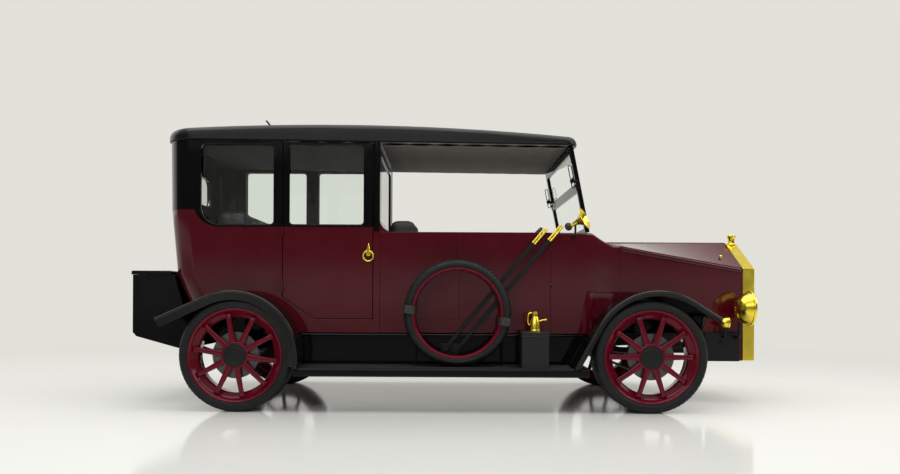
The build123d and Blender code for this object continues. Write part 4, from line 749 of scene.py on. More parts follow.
FENDER_OUTER = 0.885
FENDER_BEAD = 0.0100
FENDER_BEAD_INSET = 0.003
FENDER_BEAD_DROP = 0.004
BOARD_TOP = 0.284
FRONT_ARC = ((1.344, 0.352), 0.432)
FRONT_TIP = (1.747, 0.608)
FRONT_TAIL = (0.811, BOARD_TOP)
REAR_ARC = ((-1.381, 0.362), 0.412)
REAR_TIP = (-1.871, 0.595)
front_last = tangent_point(*FRONT_ARC, FRONT_TAIL, -1) + 2 * pi
front_edge = fender_edge(*FRONT_ARC, FRONT_TIP, 1, front_last, FRONT_TAIL)
rear_edge = fender_edge(*REAR_ARC, REAR_TIP, -1, asin((BOARD_TOP - REAR_ARC[0][1]) / REAR_ARC[1]))
wing_black = lacquer("wing_black", BLACK, 0.42)[0]
eased_panel("front_fenders", wing_black, 0.0025)
eased_panel("rear_fenders", wing_black, 0.0025)
for side_name, side in SIDES:
    for place_name, edge in (("front", front_edge), ("rear", rear_edge)):
        bead = [(x, side * (FENDER_OUTER - FENDER_BEAD_INSET), z - FENDER_BEAD_DROP) for x, z in edge]
        tube(f"fender_bead_{place_name}_{side_name}", bead, FENDER_BEAD, wing_black, "chassis")


def sweep(name, sections, material, body, angle=40, closed=False):
    """A skin through rings of points of equal length, with filled ends unless it closes on itself."""
    bm = bmesh.new()
    skin(bm, sections, closed, not closed)
    return fitted(smooth(new_object(name, bm, material), angle), body)


SPLASH_SHEET = 0.004
FRONT_SPLASH_LOW = 0.500
FRONT_SPLASH_Y = (0.484, 0.644)
REAR_SPLASH_LOW = 0.430
REAR_SPLASH_Y = (0.624, 0.624 + SPLASH_SHEET)


def front_splash(top):
    """Section of (y, z) of the sheet beside the bonnet and over to the fender."""
    inner, outer = FRONT_SPLASH_Y
    web = inner + SPLASH_SHEET
    return (
        (outer, top), (inner, top), (inner, FRONT_SPLASH_LOW), (web, FRONT_SPLASH_LOW),
        (web, top - SPLASH_SHEET), (outer, top - SPLASH_SHEET),
    )


def rear_splash(top):
    """Section of (y, z) of the sheet beside the rear body."""
    inner, outer = REAR_SPLASH_Y
    return (inner, top), (outer, top), (outer, REAR_SPLASH_LOW), (inner, REAR_SPLASH_LOW)


splash_rows = (
    # place, fender's edge, ends of the sheet in x, section
    ("front", front_edge, (1.13, 1.76), front_splash),
    ("rear", rear_edge, (-1.88, -1.03), rear_splash),
)
for side_name, side in SIDES:
    for place_name, edge, (start, end), section in splash_rows:
        reached = [(x, z) for x, z in edge if start < x < end]
        rings = [[(x, side * y, height) for y, height in section(z - SPLASH_SHEET)] for x, z in reached]
        sweep(f"splash_sheet_{place_name}_{side_name}", rings, black_lacquer, "chassis", 30)


# Running boards: black steel treads with a rolled edge and ribbed rubber on top.
# A black apron joins each to the frame; a half-round bead finishes the apron's top edge.
eased_panel("running_boards", black_lacquer, 0.005)
BOARD_X = (-0.985, 0.800)
RIB_COUNT = 12
RIB_STEP = 0.021
RIB_START = 0.625
RIB_WIDTH = 0.010
RIB_HEIGHT = 0.008
RIB_EASE = RIB_HEIGHT / 3
APRON_X = (-0.982, 0.0, 0.900)
APRON_Y = 0.602
APRON_TOP = 0.487
APRON_BEAD = 0.009
rib_half = (BOARD_X[1] - BOARD_X[0]) / 2
rib_pattern = rounded_bar("rib_pattern", (
    (-rib_half, RIB_HEIGHT - RIB_EASE, RIB_WIDTH - RIB_EASE, 0),
    (RIB_EASE - rib_half, RIB_HEIGHT, RIB_WIDTH, 0), (rib_half - RIB_EASE, RIB_HEIGHT, RIB_WIDTH, 0),
    (rib_half, RIB_HEIGHT - RIB_EASE, RIB_WIDTH - RIB_EASE, 0),
))
for side_name, side in SIDES:
    ribs = repeated(
        f"board_ribs_{side_name}", rib_pattern, RIB_COUNT, rubber, step=(0, side * RIB_STEP, 0),
        first_place=((BOARD_X[0] + BOARD_X[1]) / 2, side * RIB_START, BOARD_TOP),
    )
    fitted(smooth(ribs, 40), "chassis")
    apron_bead = [(x, side * APRON_Y, APRON_TOP) for x in APRON_X]
    tube(f"apron_bead_{side_name}", apron_bead, APRON_BEAD, wing_black, "chassis")
bpy.data.objects.remove(rib_pattern)


# Trunk: a wood-framed box covered in steel, gloss black, strapped on behind the body, with a shallow lid.
# Two plain over-centre catches hold the lid at the back.
eased_panel("trunk", black_lacquer, 0.005)
eased_panel("trunk_lid", black_lacquer, 0.003, "boot_lid")
TRUNK_BACK = -2.169
CATCH_MIDDLE = 0.852
CATCH_Y = 0.300
catch_pattern = rounded_bar("catch_pattern", (
    (-0.030, 0.030, 0.010, 0), (-0.026, 0.036, 0.014, 0), (0.020, 0.036, 0.014, 0), (0.026, 0.020, 0.012, 0),
), 0.5)
for vert in catch_pattern.data.vertices:
    vert.co = (TRUNK_BACK + vert.co.y, -vert.co.z, CATCH_MIDDLE - vert.co.x)
catches = repeated(
    "trunk_catches", catch_pattern, 2, cap_black, first_place=(0, -CATCH_Y, 0), step=(0, 2 * CATCH_Y, 0),
)
fitted(smooth(catches, 40), "chassis")
bpy.data.objects.remove(catch_pattern)


# Cowl: one pressed steel skin that flows from the body's full width at the windscreen down into the bonnet.
# Under it stand the varnished dash with four blank dials and the painted bulkhead.
COWL_X = (0.690, 1.185)
SCREEN_FOOT = 0.958
DECK_START = 0.850
BELT = 1.178
COWL_FLOW = 1.9
COWL_START = 0.12
COWL_SHOULDER = 0.016
NARROWING_START = 0.890
LIP = 0.040
DECK_STEPS = 12


def cowl_station(x):
    """Half-width, bottom, shoulder and ridge heights of the cowl at x."""
    t = max(0.0, (x - SCREEN_FOOT) / (COWL_X[1] - SCREEN_FOOT))
    left = max(0.0, 1 - t * t * (1 + COWL_START) / (t + COWL_START)) ** COWL_FLOW
    bottom = 0.500 if x < SCREEN_FOOT else 0.530 + 0.090 * t
    narrow = min(1.0, max(0.0, (x - NARROWING_START) / (COWL_X[1] - NARROWING_START)))
    half = 0.620 - 0.140 * narrow * narrow * (3 - 2 * narrow)
    return half, bottom, 1.097 + 0.081 * left, 1.150 + 0.029 * left


def cowl_side(x, side):
    """Points up one side of the cowl at x, round its shoulder and onto the top."""
    half, bottom, shoulder, ridge = cowl_station(x)
    fall = (ridge - shoulder) / half
    start = shoulder - COWL_SHOULDER
    points = [(x, side * half, bottom + (start - bottom) * i / 8) for i in range(9)]
    for step in range(1, 7):
        angle = radians(90 * step / 6)
        y = half - COWL_SHOULDER + COWL_SHOULDER * cos(angle)
        points.append((x, side * y, start + COWL_SHOULDER * sin(angle) + fall * COWL_SHOULDER * step / 6))
    points.append((x, side * (half - LIP), shoulder + fall * LIP))
    return points


cowl_xs = [COWL_X[0], 0.770, DECK_START, NARROWING_START, 0.906, 0.922, SCREEN_FOOT - 0.02, SCREEN_FOOT]
cowl_xs += [SCREEN_FOOT + (COWL_X[1] - SCREEN_FOOT) * i / 16 for i in range(1, 17)]
bm = bmesh.new()
right_rows, left_rows = (
    [[bm.verts.new(place) for place in cowl_side(x, side)] for x in cowl_xs] for side_name, side in SIDES
)
deck = []
for x, right_row, left_row in zip(cowl_xs, right_rows, left_rows):
    if x < DECK_START:
        continue
    half, bottom, shoulder, ridge = cowl_station(x)
    row = [right_row[-1]]
    for step in range(1, DECK_STEPS):
        y = (half - LIP) * (2 * step / DECK_STEPS - 1)
        row.append(bm.verts.new((x, y, ridge - (ridge - shoulder) * abs(y) / half)))
    deck.append(row + [left_row[-1]])
for rows in (right_rows, left_rows, deck):
    weave_quads(bm, rows)
if max(bm.faces, key=lambda face: face.calc_center_median().z).normal.z < 0:
    bmesh.ops.reverse_faces(bm, faces=bm.faces)
cowl_skin = smooth(thicken(new_object("cowl_skin", bm, maroon_lacquer), 0.005, -1), 40)
fitted(cowl_skin, "chassis", "cowl")

varnished_wood, wood_shader = finished(
    "varnished_wood", (0.16, 0.062, 0.022), 300, 8, (0.22, 0.36), 0.1, 0.0003,
)
wood_map = add_node(varnished_wood, "ShaderNodeMapping", {"Scale": (3.0, 1.2, 14.0)})
wood_grain = add_node(varnished_wood, "ShaderNodeTexNoise", {"Scale": 6, "Detail": 9})
wood_colours = {"A": (0.085, 0.030, 0.010, 1), "B": (0.25, 0.105, 0.040, 1)}
wood_tones = add_node(varnished_wood, "ShaderNodeMix", wood_colours, data_type="RGBA")
join(
    varnished_wood,
    (add_node(varnished_wood, "ShaderNodeTexCoord").outputs["Object"], wood_map.inputs["Vector"]),
    (wood_map.outputs["Vector"], wood_grain.inputs["Vector"]),
    (wood_grain.outputs["Fac"], wood_tones.inputs["Factor"]),
    (wood_tones.outputs["Result"], wood_shader.inputs["Base Color"]),
)
dress(varnished_wood, "floor_boards")


def slab(name, points, x, thickness, material):
    """A flat panel across the car: outline of (y, z) from x forwards, edges eased, on the chassis."""
    bm = bmesh.new()
    face = bm.faces.new([bm.verts.new((x, y, z)) for y, z in points])
    raised = bmesh.ops.extrude_face_region(bm, geom=[face])
    for item in raised["geom"]:
        if isinstance(item, bmesh.types.BMVert):
            item.co.x += thickness
    bmesh.ops.recalc_face_normals(bm, faces=bm.faces)
    bmesh.ops.bevel(bm, geom=bm.edges, offset=0.003, segments=2, affect="EDGES")
    fitted(smooth(new_object(name, bm, material)), "chassis")


DASH = ((-0.575, 0.950), (0.575, 0.950), (0.575, 1.132), (-0.575, 1.132))
BULKHEAD = (
    (-0.380, 0.500), (0.380, 0.500), (0.380, 0.64), (0.470, 0.66), (0.470, 1.085), (0, 1.136),
    (-0.470, 1.085), (-0.470, 0.66), (-0.380, 0.64),
)
slab("dash_board", DASH, 0.850, 0.012, varnished_wood)
slab("bulkhead", BULKHEAD, 1.150, 0.030, black_lacquer)
dial_face = finished("dial_face", (0.62, 0.60, 0.54), 500, 20, (0.28, 0.42), 0.05)[0]
DIAL = (
    # radius, distance ahead of the dash
    (0.0, 0.002), (0.036, 0.002), (0.038, -0.004), (0.042, -0.005), (0.044, -0.002), (0.044, 0.004),
    (0.0, 0.004),
)
dial_pattern = lathe("dial_pattern", DIAL, "X", 40)
DIAL_PLACE = (0.8485, -0.165, 1.045)
dials = repeated("dash_dials", dial_pattern, 4, dial_face, first_place=DIAL_PLACE, step=(0, 0.110, 0))
fitted(smooth(dials, 40), "chassis")
bpy.data.objects.remove(dial_pattern)


# Bonnet: two lids of sheet steel hinged on the ridge rod, each with a rolled shoulder over the fixed side.
# A small brass knob near the front lifts each lid; a painted skirt closes each side down to the frame.
BONNET_X = (1.192, 2.078)
ROLL_SECTION = (
    # out from the shoulder, up from it
    (-0.034, 0.0065), (-0.016, 0.0050), (0.000, 0.0010), (0.0065, -0.0065), (0.0095, -0.0150),
    (0.0090, -0.0250), (0.0070, -0.0330), (0.0035, -0.0350), (0.0010, -0.0335), (0.0000, -0.0200),
    (-0.0060, -0.0060), (-0.0200, -0.0020), (-0.0340, 0.0020),
)
SKIRT_X = (1.740, 2.055)
SKIRT_Z = (0.505, 0.640)
SKIRT_INSET = 0.0015
SKIRT_SHEET = 0.003


def bonnet_edge(x):
    """Half-width and height of the bonnet's shoulder at x."""
    t = (x - 1.185) / 0.900
    return 0.480 - 0.145 * t, 1.097 - 0.142 * t


for side_name, side in SIDES:
    rings = []
    for step in range(7):
        x = BONNET_X[0] + (BONNET_X[1] - BONNET_X[0]) * step / 6
        half, shoulder = bonnet_edge(x)
        rings.append([(x, side * (half + out), shoulder + up) for out, up in ROLL_SECTION])
    sweep(f"bonnet_roll_{side_name}", rings, maroon_lacquer, f"{side_name}_bonnet_lid")
    rings = []
    for x in SKIRT_X:
        outer = bonnet_edge(x)[0] - SKIRT_INSET
        inner = outer - SKIRT_SHEET
        skirt = ((outer, SKIRT_Z[0]), (outer, SKIRT_Z[1]), (inner, SKIRT_Z[1]), (inner, SKIRT_Z[0]))
        rings.append([(x, side * y, z) for y, z in skirt])
    sweep(f"bonnet_skirt_{side_name}", rings, maroon_lacquer, "chassis")


# Brass work: spun and cast brass, polished by hand, a little duller in its hollows.
# The radiator shell is folded sheet brass round a black finned core, with a spool-shaped filler cap.
DULL, BRIGHT = 0.26, 0.10
brass, brass_shader = finished(
    "polished_brass", (0.90, 0.70, 0.08), 380, 10, (BRIGHT, DULL), 0.05, metallic=1.0,
)
brass_colours = {"A": (0.95, 0.76, 0.09, 1), "B": (0.82, 0.61, 0.06, 1)}
brass_tones = add_node(brass, "ShaderNodeMix", brass_colours, data_type="RGBA")
brass_spread = add_node(brass, "ShaderNodeMapRange", {"From Min": BRIGHT, "From Max": DULL})
join(
    brass,
    (brass.node_tree.nodes["finish"].outputs["Roughness"], brass_spread.inputs["Value"]),
    (brass_spread.outputs["Result"], brass_tones.inputs["Factor"]),
    (brass_tones.outputs["Result"], brass_shader.inputs["Base Color"]),
)
eased_panel("radiator_shell", brass, 0.005, segments=3)
dress(finished("core_black", (0.012, 0.012, 0.012), 500, 20, (0.42, 0.6), 0.2)[0], "radiator_core")


def turned(
    name, profile, axis, place, material, segments=56, body="chassis", replaced=None, aim=(0.0, 0.0),
):
    """A piece turned on a lathe, raised and turned out by its aim and put in its place."""
    obj = smooth(lathe(name, profile, axis, segments, material))
    rise, turn = aim
    aimed = Matrix.Rotation(-turn, 4, "Z") @ Matrix.Rotation(-rise, 4, "Y")
    obj.data.transform(Matrix.Translation(place) @ aimed)
    return fitted(obj, body, replaced)


cap_low, cap_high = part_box("radiator_cap")
FILLER_CAP = (
    # radius, share of the cap's height
    (0.0, 0.0), (0.0285, 0.0), (0.0295, 0.04), (0.0295, 0.11), (0.0265, 0.15), (0.0250, 0.22), (0.0245, 0.45),
    (0.0250, 0.64), (0.0270, 0.72), (0.0310, 0.77), (0.0320, 0.80), (0.0320, 0.91), (0.0300, 0.96),
    (0.0180, 0.98), (0.0120, 1.0), (0.0, 1.0),
)
turned(
    "filler_cap", [(radius, share * (cap_high[2] - cap_low[2])) for radius, share in FILLER_CAP], "Z",
    ((cap_low[0] + cap_high[0]) / 2, 0, cap_low[2]), brass, replaced="radiator_cap",
)
LID_KNOB = (
    # radius, height
    (0.0, -0.004), (0.010, -0.004), (0.010, 0.002), (0.005, 0.005), (0.005, 0.012), (0.011, 0.016),
    (0.012, 0.021), (0.008, 0.026), (0.0, 0.027),
)
for side_name, side in SIDES:
    knob_place = (1.960, side * 0.252, 1.0245)
    turned(f"lid_knob_{side_name}", LID_KNOB, "Z", knob_place, brass, 24, f"{side_name}_bonnet_lid")


# Lamps: two deep spun brass headlamps with rolled rims, ribbed glass and silvered reflectors.
# Two small brass side lamps with domed fronts stand behind them, all four on black iron posts.
HEADLAMP = (2.085, 0.480, 0.672)
LAMP_BOWL = (
    # radius, distance ahead of the rim, as in the next two
    (0.0, -0.1100), (0.0120, -0.1092), (0.0150, -0.1060), (0.0360, -0.1045), (0.0700, -0.0900),
    (0.0960, -0.0600), (0.1090, -0.0280), (0.1125, -0.0170), (0.1180, -0.0160), (0.1200, -0.0130),
    (0.1200, -0.0030), (0.1185, 0.0), (0.1090, 0.0005), (0.1070, -0.0015), (0.1065, -0.0120),
    (0.1040, -0.0200), (0.0900, -0.0560), (0.0600, -0.0850), (0.0, -0.0980),
)
REFLECTOR = (
    (0.0, -0.0930), (0.0150, -0.0925), (0.0560, -0.0800), (0.0860, -0.0520), (0.1010, -0.0180),
    (0.1035, -0.0130), (0.1035, -0.0150), (0.0880, -0.0540), (0.0570, -0.0820), (0.0, -0.0945),
)
SIDE_LAMP = (1.927, 0.430, 0.571)
SIDE_BOWL = (
    (0.0, -0.0350), (0.0100, -0.0345), (0.0220, -0.0300), (0.0340, -0.0180), (0.0385, 0.0), (0.0390, 0.0140),
    (0.0420, 0.0160), (0.0420, 0.0240), (0.0380, 0.0260), (0.0300, 0.0310), (0.0160, 0.0345), (0.0, 0.0350),
)
HEAD_POST = (
    # x, distance from the middle, height, as in the next
    (2.010, 0.390, 0.470), (2.010, 0.450, 0.470), (2.010, 0.472, 0.476), (2.010, 0.480, 0.498),
    (2.010, 0.480, 0.580),
)
SIDE_POST = ((1.927, 0.390, 0.470), (1.927, 0.415, 0.470), (1.927, 0.428, 0.478), (1.927, 0.430, 0.540))
silvered = finished("silvered_metal", (0.86, 0.86, 0.84), 300, 12, (0.05, 0.12), 0.03, metallic=1.0)[0]
lamp_glass, lamp_shader = new_material("lamp_glass", (0.97, 0.98, 0.97), 0.02)
lamp_shader.inputs["Transmission Weight"].default_value = 1.0
lamp_shader.inputs["IOR"].default_value = 1.35
lamp_ribs = add_node(lamp_glass, "ShaderNodeTexWave", {"Scale": 22}, bands_direction="Y")
lamp_relief = add_node(lamp_glass, "ShaderNodeBump", {"Strength": 0.4, "Distance": 0.002})
join(
    lamp_glass,
    (add_node(lamp_glass, "ShaderNodeTexCoord").outputs["Object"], lamp_ribs.inputs["Vector"]),
    (lamp_ribs.outputs["Fac"], lamp_relief.inputs["Height"]),
    (lamp_relief.outputs["Normal"], lamp_shader.inputs["Normal"]),
)
dress(lamp_glass, "lamp_lenses")


def on_side(side, places):
    """Places given for the left, moved to a side."""
    return [(x, side * y, z) for x, y, z in places]


for side_name, side in SIDES:
    head_place, side_place = on_side(side, (HEADLAMP, SIDE_LAMP))
    turned(f"headlamp_{side_name}", LAMP_BOWL, "X", head_place, brass, 64, replaced="lamps")
    turned(f"reflector_{side_name}", REFLECTOR, "X", head_place, silvered, 64)
    turned(f"side_lamp_{side_name}", SIDE_BOWL, "X", side_place, brass, 40)
    for lamp_name, post, radius in (("headlamp", HEAD_POST, 0.011), ("side_lamp", SIDE_POST, 0.009)):
        post_path = on_side(side, post)
        tube(f"{lamp_name}_post_{side_name}", post_path, radius, chassis_black, "chassis")


# Horn: a short flared bell of spun brass, raised and turned out, blown by a brown rubber bulb behind.
# A black stem carries it from the body's belt beside the windscreen.
HORN_FOOT = (0.797, -0.678, 1.213)
HORN_AIM = (radians(24), radians(28))
BELL = (
    # radius, distance along the horn, as in the next
    (0.0, 0.0200), (0.0140, 0.0200), (0.0145, 0.0220), (0.0145, 0.0280), (0.0115, 0.0310),
    (0.0120, 0.0400), (0.0150, 0.0560), (0.0220, 0.0740), (0.0340, 0.0910), (0.0500, 0.1050),
    (0.0660, 0.1155), (0.0725, 0.1190), (0.0740, 0.1200), (0.0725, 0.1212), (0.0640, 0.1170),
    (0.0480, 0.1065), (0.0320, 0.0925), (0.0200, 0.0750), (0.0120, 0.0560), (0.0, 0.0540),
)
BULB = (
    (0.0, -0.0240), (0.0100, -0.0235), (0.0195, -0.0190), (0.0255, -0.0100), (0.0270, 0.0), (0.0240, 0.0100),
    (0.0170, 0.0180), (0.0125, 0.0230), (0.0, 0.0240),
)
HORN_STEM = (
    (0.838, -0.618, 1.142), (0.838, -0.668, 1.142), (0.838, -0.690, 1.150), (0.838, -0.699, 1.166),
    (0.838, -0.699, 1.226),
)
brown_rubber = finished("brown_rubber", (0.022, 0.014, 0.007), 400, 14, (0.40, 0.58), 0.15)[0]
turned("horn_bell", BELL, "X", HORN_FOOT, brass, replaced="bulb_horn", aim=HORN_AIM)
turned("horn_bulb", BULB, "X", HORN_FOOT, brown_rubber, aim=HORN_AIM)
tube("horn_stem", HORN_STEM, 0.007, chassis_black, "chassis")


# Spare rim and straps: a plain maroon rim with rolled edges, held by two oiled leather straps.
# The straps have iron buckles. Thin black stays from the running board keep the spare from rocking.
RIM_SIDE = (
    # radius, distance from the rim's middle
    (0.2980, 0.0550), (0.3000, 0.0565), (0.2990, 0.0580), (0.2900, 0.0580), (0.2860, 0.0560),
    (0.2830, 0.0500), (0.2800, 0.0380),
)
spare_rim_section = [*RIM_SIDE, (0.2790, 0.0), *((radius, -offset) for radius, offset in reversed(RIM_SIDE))]
spare_rim = smooth(lathe("spare_rim_enamelled", spare_rim_section, "Y", 96, wheel_enamel, closed=True), 45)
fitted(placed(spare_rim, SPARE_CENTRE, -1), "chassis", "spare_rim")
oiled_leather = finished("oiled_leather", (0.022, 0.018, 0.013), 260, 18, (0.42, 0.66), 0.35, 0.0006)[0]
STRAP_HALF = 0.027
STRAP_SHEET = 0.003
STRAP_BOX = (0.2755, 0.3565, 0.0730)
STRAP_CORNER = 0.030
BUCKLE_RADIUS = 0.318
BUCKLE_HALF = (0.019, 0.013)
BUCKLE_LIFT = 0.004
BUCKLE_WIRE = 0.0024
STAY_RADIUS = 0.006


def strap_ring(grow):
    """Closed path of (radius, along the axle) round the tyre and rim, grown outwards by grow."""
    inner, outer, half = STRAP_BOX[0] - grow, STRAP_BOX[1] + grow, STRAP_BOX[2] + grow
    corner = STRAP_CORNER + grow
    corners = (
        (outer - corner, half - corner, 0), (inner + corner, half - corner, 90),
        (inner + corner, corner - half, 180), (outer - corner, corner - half, 270),
    )
    points = []
    for radius, along, turn in corners:
        for step in range(7):
            angle = radians(turn + 15 * step)
            points.append((radius + corner * cos(angle), along + corner * sin(angle)))
    return points


strap_rows = (
    # name, angle round the spare in degrees, x of the stay below it
    ("rear", 176.0, -0.218),
    ("front", -10.0, 0.362),
)
STRAP_EDGES = (
    # shift across the strap, height of its face
    (-STRAP_HALF, STRAP_SHEET), (STRAP_HALF, STRAP_SHEET), (STRAP_HALF, 0.0), (-STRAP_HALF, 0.0),
)
for strap_name, turn, stay_x in strap_rows:
    outward = Vector((cos(radians(turn)), 0, sin(radians(turn))))
    tangent = Vector((-outward.z, 0, outward.x))
    rings = []
    for shift, grow in STRAP_EDGES:
        edge = Vector(SPARE_CENTRE) + tangent * shift
        rings.append([edge + outward * radius + Vector((0, along, 0)) for radius, along in strap_ring(grow)])
    sweep(f"spare_strap_{strap_name}", rings, oiled_leather, "chassis", closed=True)
    middle = Vector(SPARE_CENTRE) + outward * BUCKLE_RADIUS - Vector((0, STRAP_BOX[2] + BUCKLE_LIFT, 0))
    buckle = []
    for across, along in ((-1, -1), (1, -1), (1, 1), (-1, 1)):
        buckle.append(middle + tangent * (across * BUCKLE_HALF[0]) + outward * (along * BUCKLE_HALF[1]))
    tube(f"strap_buckle_{strap_name}", buckle, BUCKLE_WIRE, cast_iron, "chassis", True)
    stay = ((stay_x, -0.648, 0.286), (stay_x, -0.648, 0.470), (stay_x, -0.604, 0.482))
    tube(f"spare_stay_{strap_name}", stay, STAY_RADIUS, chassis_black, "chassis")


# Levers: two long flat black iron levers on a bracket beside the driver, for the brake and the gears.
# Each ends in a grip of two parallel brass bars with a squeeze bar between small end plates.
eased_panel("control_levers", chassis_black, 0.003)
LEVER_Y = -0.6355
GRIP_LENGTH = 0.130
GRIP_SPREAD = 0.0085
GRIP_BAR = 0.0068
GRIP_PLATE = 0.0045
GRIP_OVERHANG = 0.005
lever_rows = (
    # name, foot, top
    ("brake", (-0.019, 0.399), (0.654, 1.203)),
    ("gear", (0.051, 0.381), (0.759, 1.223)),
)
for lever_name, foot, top in lever_rows:
    run = (Vector(top) - Vector(foot)).normalized()
    across = Vector((-run.y, run.x))
    bars = []
    for spread in (-GRIP_SPREAD, GRIP_SPREAD):
        edge = Vector(top) + across * spread
        bars.append((GRIP_BAR, 6, (edge - run * (GRIP_LENGTH + 0.002), edge)))
    for reach in (GRIP_LENGTH - 0.002, GRIP_LENGTH / 2, 0.006):
        middle = Vector(top) - run * reach
        overhang = across * (GRIP_SPREAD + GRIP_OVERHANG)
        bars.append((GRIP_PLATE, 4, (middle - overhang, middle + overhang)))
    grip_parts = []
    for radius, resolution, ends in bars:
        path = [(point.x, LEVER_Y, point.y) for point in ends]
        grip_parts.append(tube("grip_part", path, radius, brass, "chassis", resolution=resolution))
    grip = smooth(made_one(f"lever_grip_{lever_name}", *grip_parts), 50)
    fitted(grip, "chassis", "lever_grips")


# Tool box and oil can: a folded steel box, satin black, with a lapped lid, on the right running board.
# The can on its lid is soldered sheet brass: a flared base, a short spout and a bent handle.
tool_black = finished(
    "tool_box_black", (0.011, 0.0115, 0.0115), 420, 12, (0.30, 0.50), 0.12, sheen=0.3,
)[0]
eased_panel("tool_box", tool_black, 0.004)
LID_CORNER = 0.0125
LID_Z = 0.492
LID_BEAD = 0.0035
lid_line = []
for x, y, turn in ((0.640, -0.662, 0), (0.484, -0.662, 90), (0.484, -0.838, 180), (0.640, -0.838, 270)):
    for step in range(5):
        angle = radians(turn + 22.5 * step)
        lid_line.append((x + LID_CORNER * cos(angle), y + LID_CORNER * sin(angle), LID_Z))
tube("tool_box_lid_bead", lid_line, LID_BEAD, tool_black, "chassis", True)
CAN_PLACE = (0.568, -0.750, 0.520)
CAN = (
    # radius, height
    (0.0, 0.0), (0.0405, 0.0), (0.0420, 0.002), (0.0420, 0.008), (0.0405, 0.011), (0.0400, 0.014),
    (0.0365, 0.040), (0.0310, 0.066), (0.0250, 0.086), (0.0215, 0.096), (0.0205, 0.100), (0.0205, 0.114),
    (0.0230, 0.116), (0.0230, 0.126), (0.0180, 0.130), (0.0, 0.130),
)
SPOUT = ((0.594, 0.586), (0.616, 0.593), (0.644, 0.597))
HANDLE = (
    (0.552, 0.640), (0.535, 0.640), (0.525, 0.633), (0.521, 0.612), (0.521, 0.582), (0.527, 0.566),
    (0.537, 0.556),
)
turned("oil_can_body", CAN, "Z", CAN_PLACE, brass, 48, replaced="oil_can")
for wire_name, wire, radius in (("spout", SPOUT, 0.0058), ("handle", HANDLE, 0.0055)):
    tube(f"oil_can_{wire_name}", [(x, CAN_PLACE[1], z) for x, z in wire], radius, brass, "chassis")


# Seats: sprung and stuffed benches in dark grey leather, sewn in upright channels, on black-painted boxes.
# Each cushion and back is stuffed by a cloth pass first; its channels are drawn in afterwards.
seat_leather = finished("seat_leather", (0.024, 0.0245, 0.025), 0, 7, (0.40, 0.62), 0.35, 0.0008)[0]
seat_grain = add_node(seat_leather, "ShaderNodeTexVoronoi", {"Scale": 240}, feature="DISTANCE_TO_EDGE")
join(
    seat_leather,
    (add_node(seat_leather, "ShaderNodeTexCoord").outputs["Object"], seat_grain.inputs["Vector"]),
    (seat_grain.outputs["Distance"], seat_leather.node_tree.nodes["Bump"].inputs["Height"]),
)
PAD_SHRINK = Vector((0.014, 0.014, 0.014))
PAD_EASE = 0.036
PAD_VOXEL = 0.013
PAD_SWELL = 0.024
PAD_LIFT = 0.002
PAD_PRESSURE = 4
STUFFING_FRAMES = 20
CHANNEL_STEP = 0.094
CHANNEL_WIDTH = 0.008
CHANNEL_DEPTH = 0.013


def block_mesh(low, high, lean, ease):
    """A round-edged block between two corners; lean moves its top back by that much."""
    bm = bmesh.new()
    bmesh.ops.create_cube(bm, size=1)
    size = Vector(high) - Vector(low)
    middle = (Vector(high) + Vector(low)) / 2
    for vert in bm.verts:
        share = vert.co.z + 0.5
        vert.co = middle + vert.co * size
        vert.co.x -= lean * share
    bmesh.ops.bevel(bm, geom=bm.edges, offset=ease, segments=3, affect="EDGES", profile=0.5)
    return bm


def seat_pad(name, low, high, lean, facing, node):
    """A stuffed pad in its seat's place: cloth pass, capped swell, then channels on its facing side."""
    block = block_mesh(Vector(low) + PAD_SHRINK, Vector(high) - PAD_SHRINK, lean, PAD_EASE)
    pad = new_object(name, block, seat_leather)
    voxels = pad.modifiers.new("voxels", "REMESH")
    voxels.mode = "VOXEL"
    voxels.voxel_size = PAD_VOXEL
    clear_data(pad)
    start = [vert.co.copy() for vert in pad.data.vertices]
    stuffing = pad.modifiers.new("stuffing", "CLOTH")
    stuffing.settings.quality = 3
    stuffing.settings.use_pressure = True
    stuffing.settings.uniform_pressure_force = PAD_PRESSURE
    stuffing.settings.effector_weights.gravity = 0
    for frame_number in range(1, STUFFING_FRAMES + 1):
        scene.frame_set(frame_number)
    clear_data(pad)
    scene.frame_set(1)
    for vert, rest in zip(pad.data.vertices, start):
        move = vert.co - rest
        if move.length > PAD_SWELL:
            vert.co = rest + move.normalized() * PAD_SWELL
        vert.co.z = max(vert.co.z, low[2] + PAD_LIFT)
    finer = pad.modifiers.new("finer", "SUBSURF")
    finer.levels = finer.render_levels = 1
    clear_data(pad)
    normals = [vert.normal.copy() for vert in pad.data.vertices]
    for vert, normal in zip(pad.data.vertices, normals):
        across = (vert.co.y / CHANNEL_STEP + 0.5) % 1 - 0.5
        groove = exp(-((across * CHANNEL_STEP / CHANNEL_WIDTH) ** 2) / 2)
        front = max(0.0, normal.dot(Vector(facing)))
        vert.co -= normal * CHANNEL_DEPTH * groove * front
    fitted(smooth(pad, 60), "chassis", node)


UPWARD = (0.25, 0, 0.97)
FORWARD = (0.97, 0, 0.25)
seat_pad("front_cushion", (-0.235, -0.560, 0.745), (0.130, 0.560, 0.905), 0, UPWARD, "front_seat")
seat_pad("front_backrest", (-0.398, -0.560, 0.800), (-0.213, 0.560, 1.289), 0.008, FORWARD, "front_seat")
seat_pad("rear_cushion", (-1.400, -0.525, 0.765), (-0.960, 0.525, 0.935), 0, UPWARD, "rear_seat")
seat_pad("rear_backrest", (-1.585, -0.525, 0.830), (-1.366, 0.525, 1.350), 0.008, FORWARD, "rear_seat")
for box_name, low, high in (
    ("front_seat_box", (-0.398, -0.555, 0.526), (0.105, 0.555, 0.744)),
    ("rear_seat_box", (-1.560, -0.520, 0.526), (-0.985, 0.520, 0.764)),
):
    seat_box = smooth(new_object(box_name, block_mesh(low, high, 0, 0.008), chassis_black))
    fitted(seat_box, "chassis")


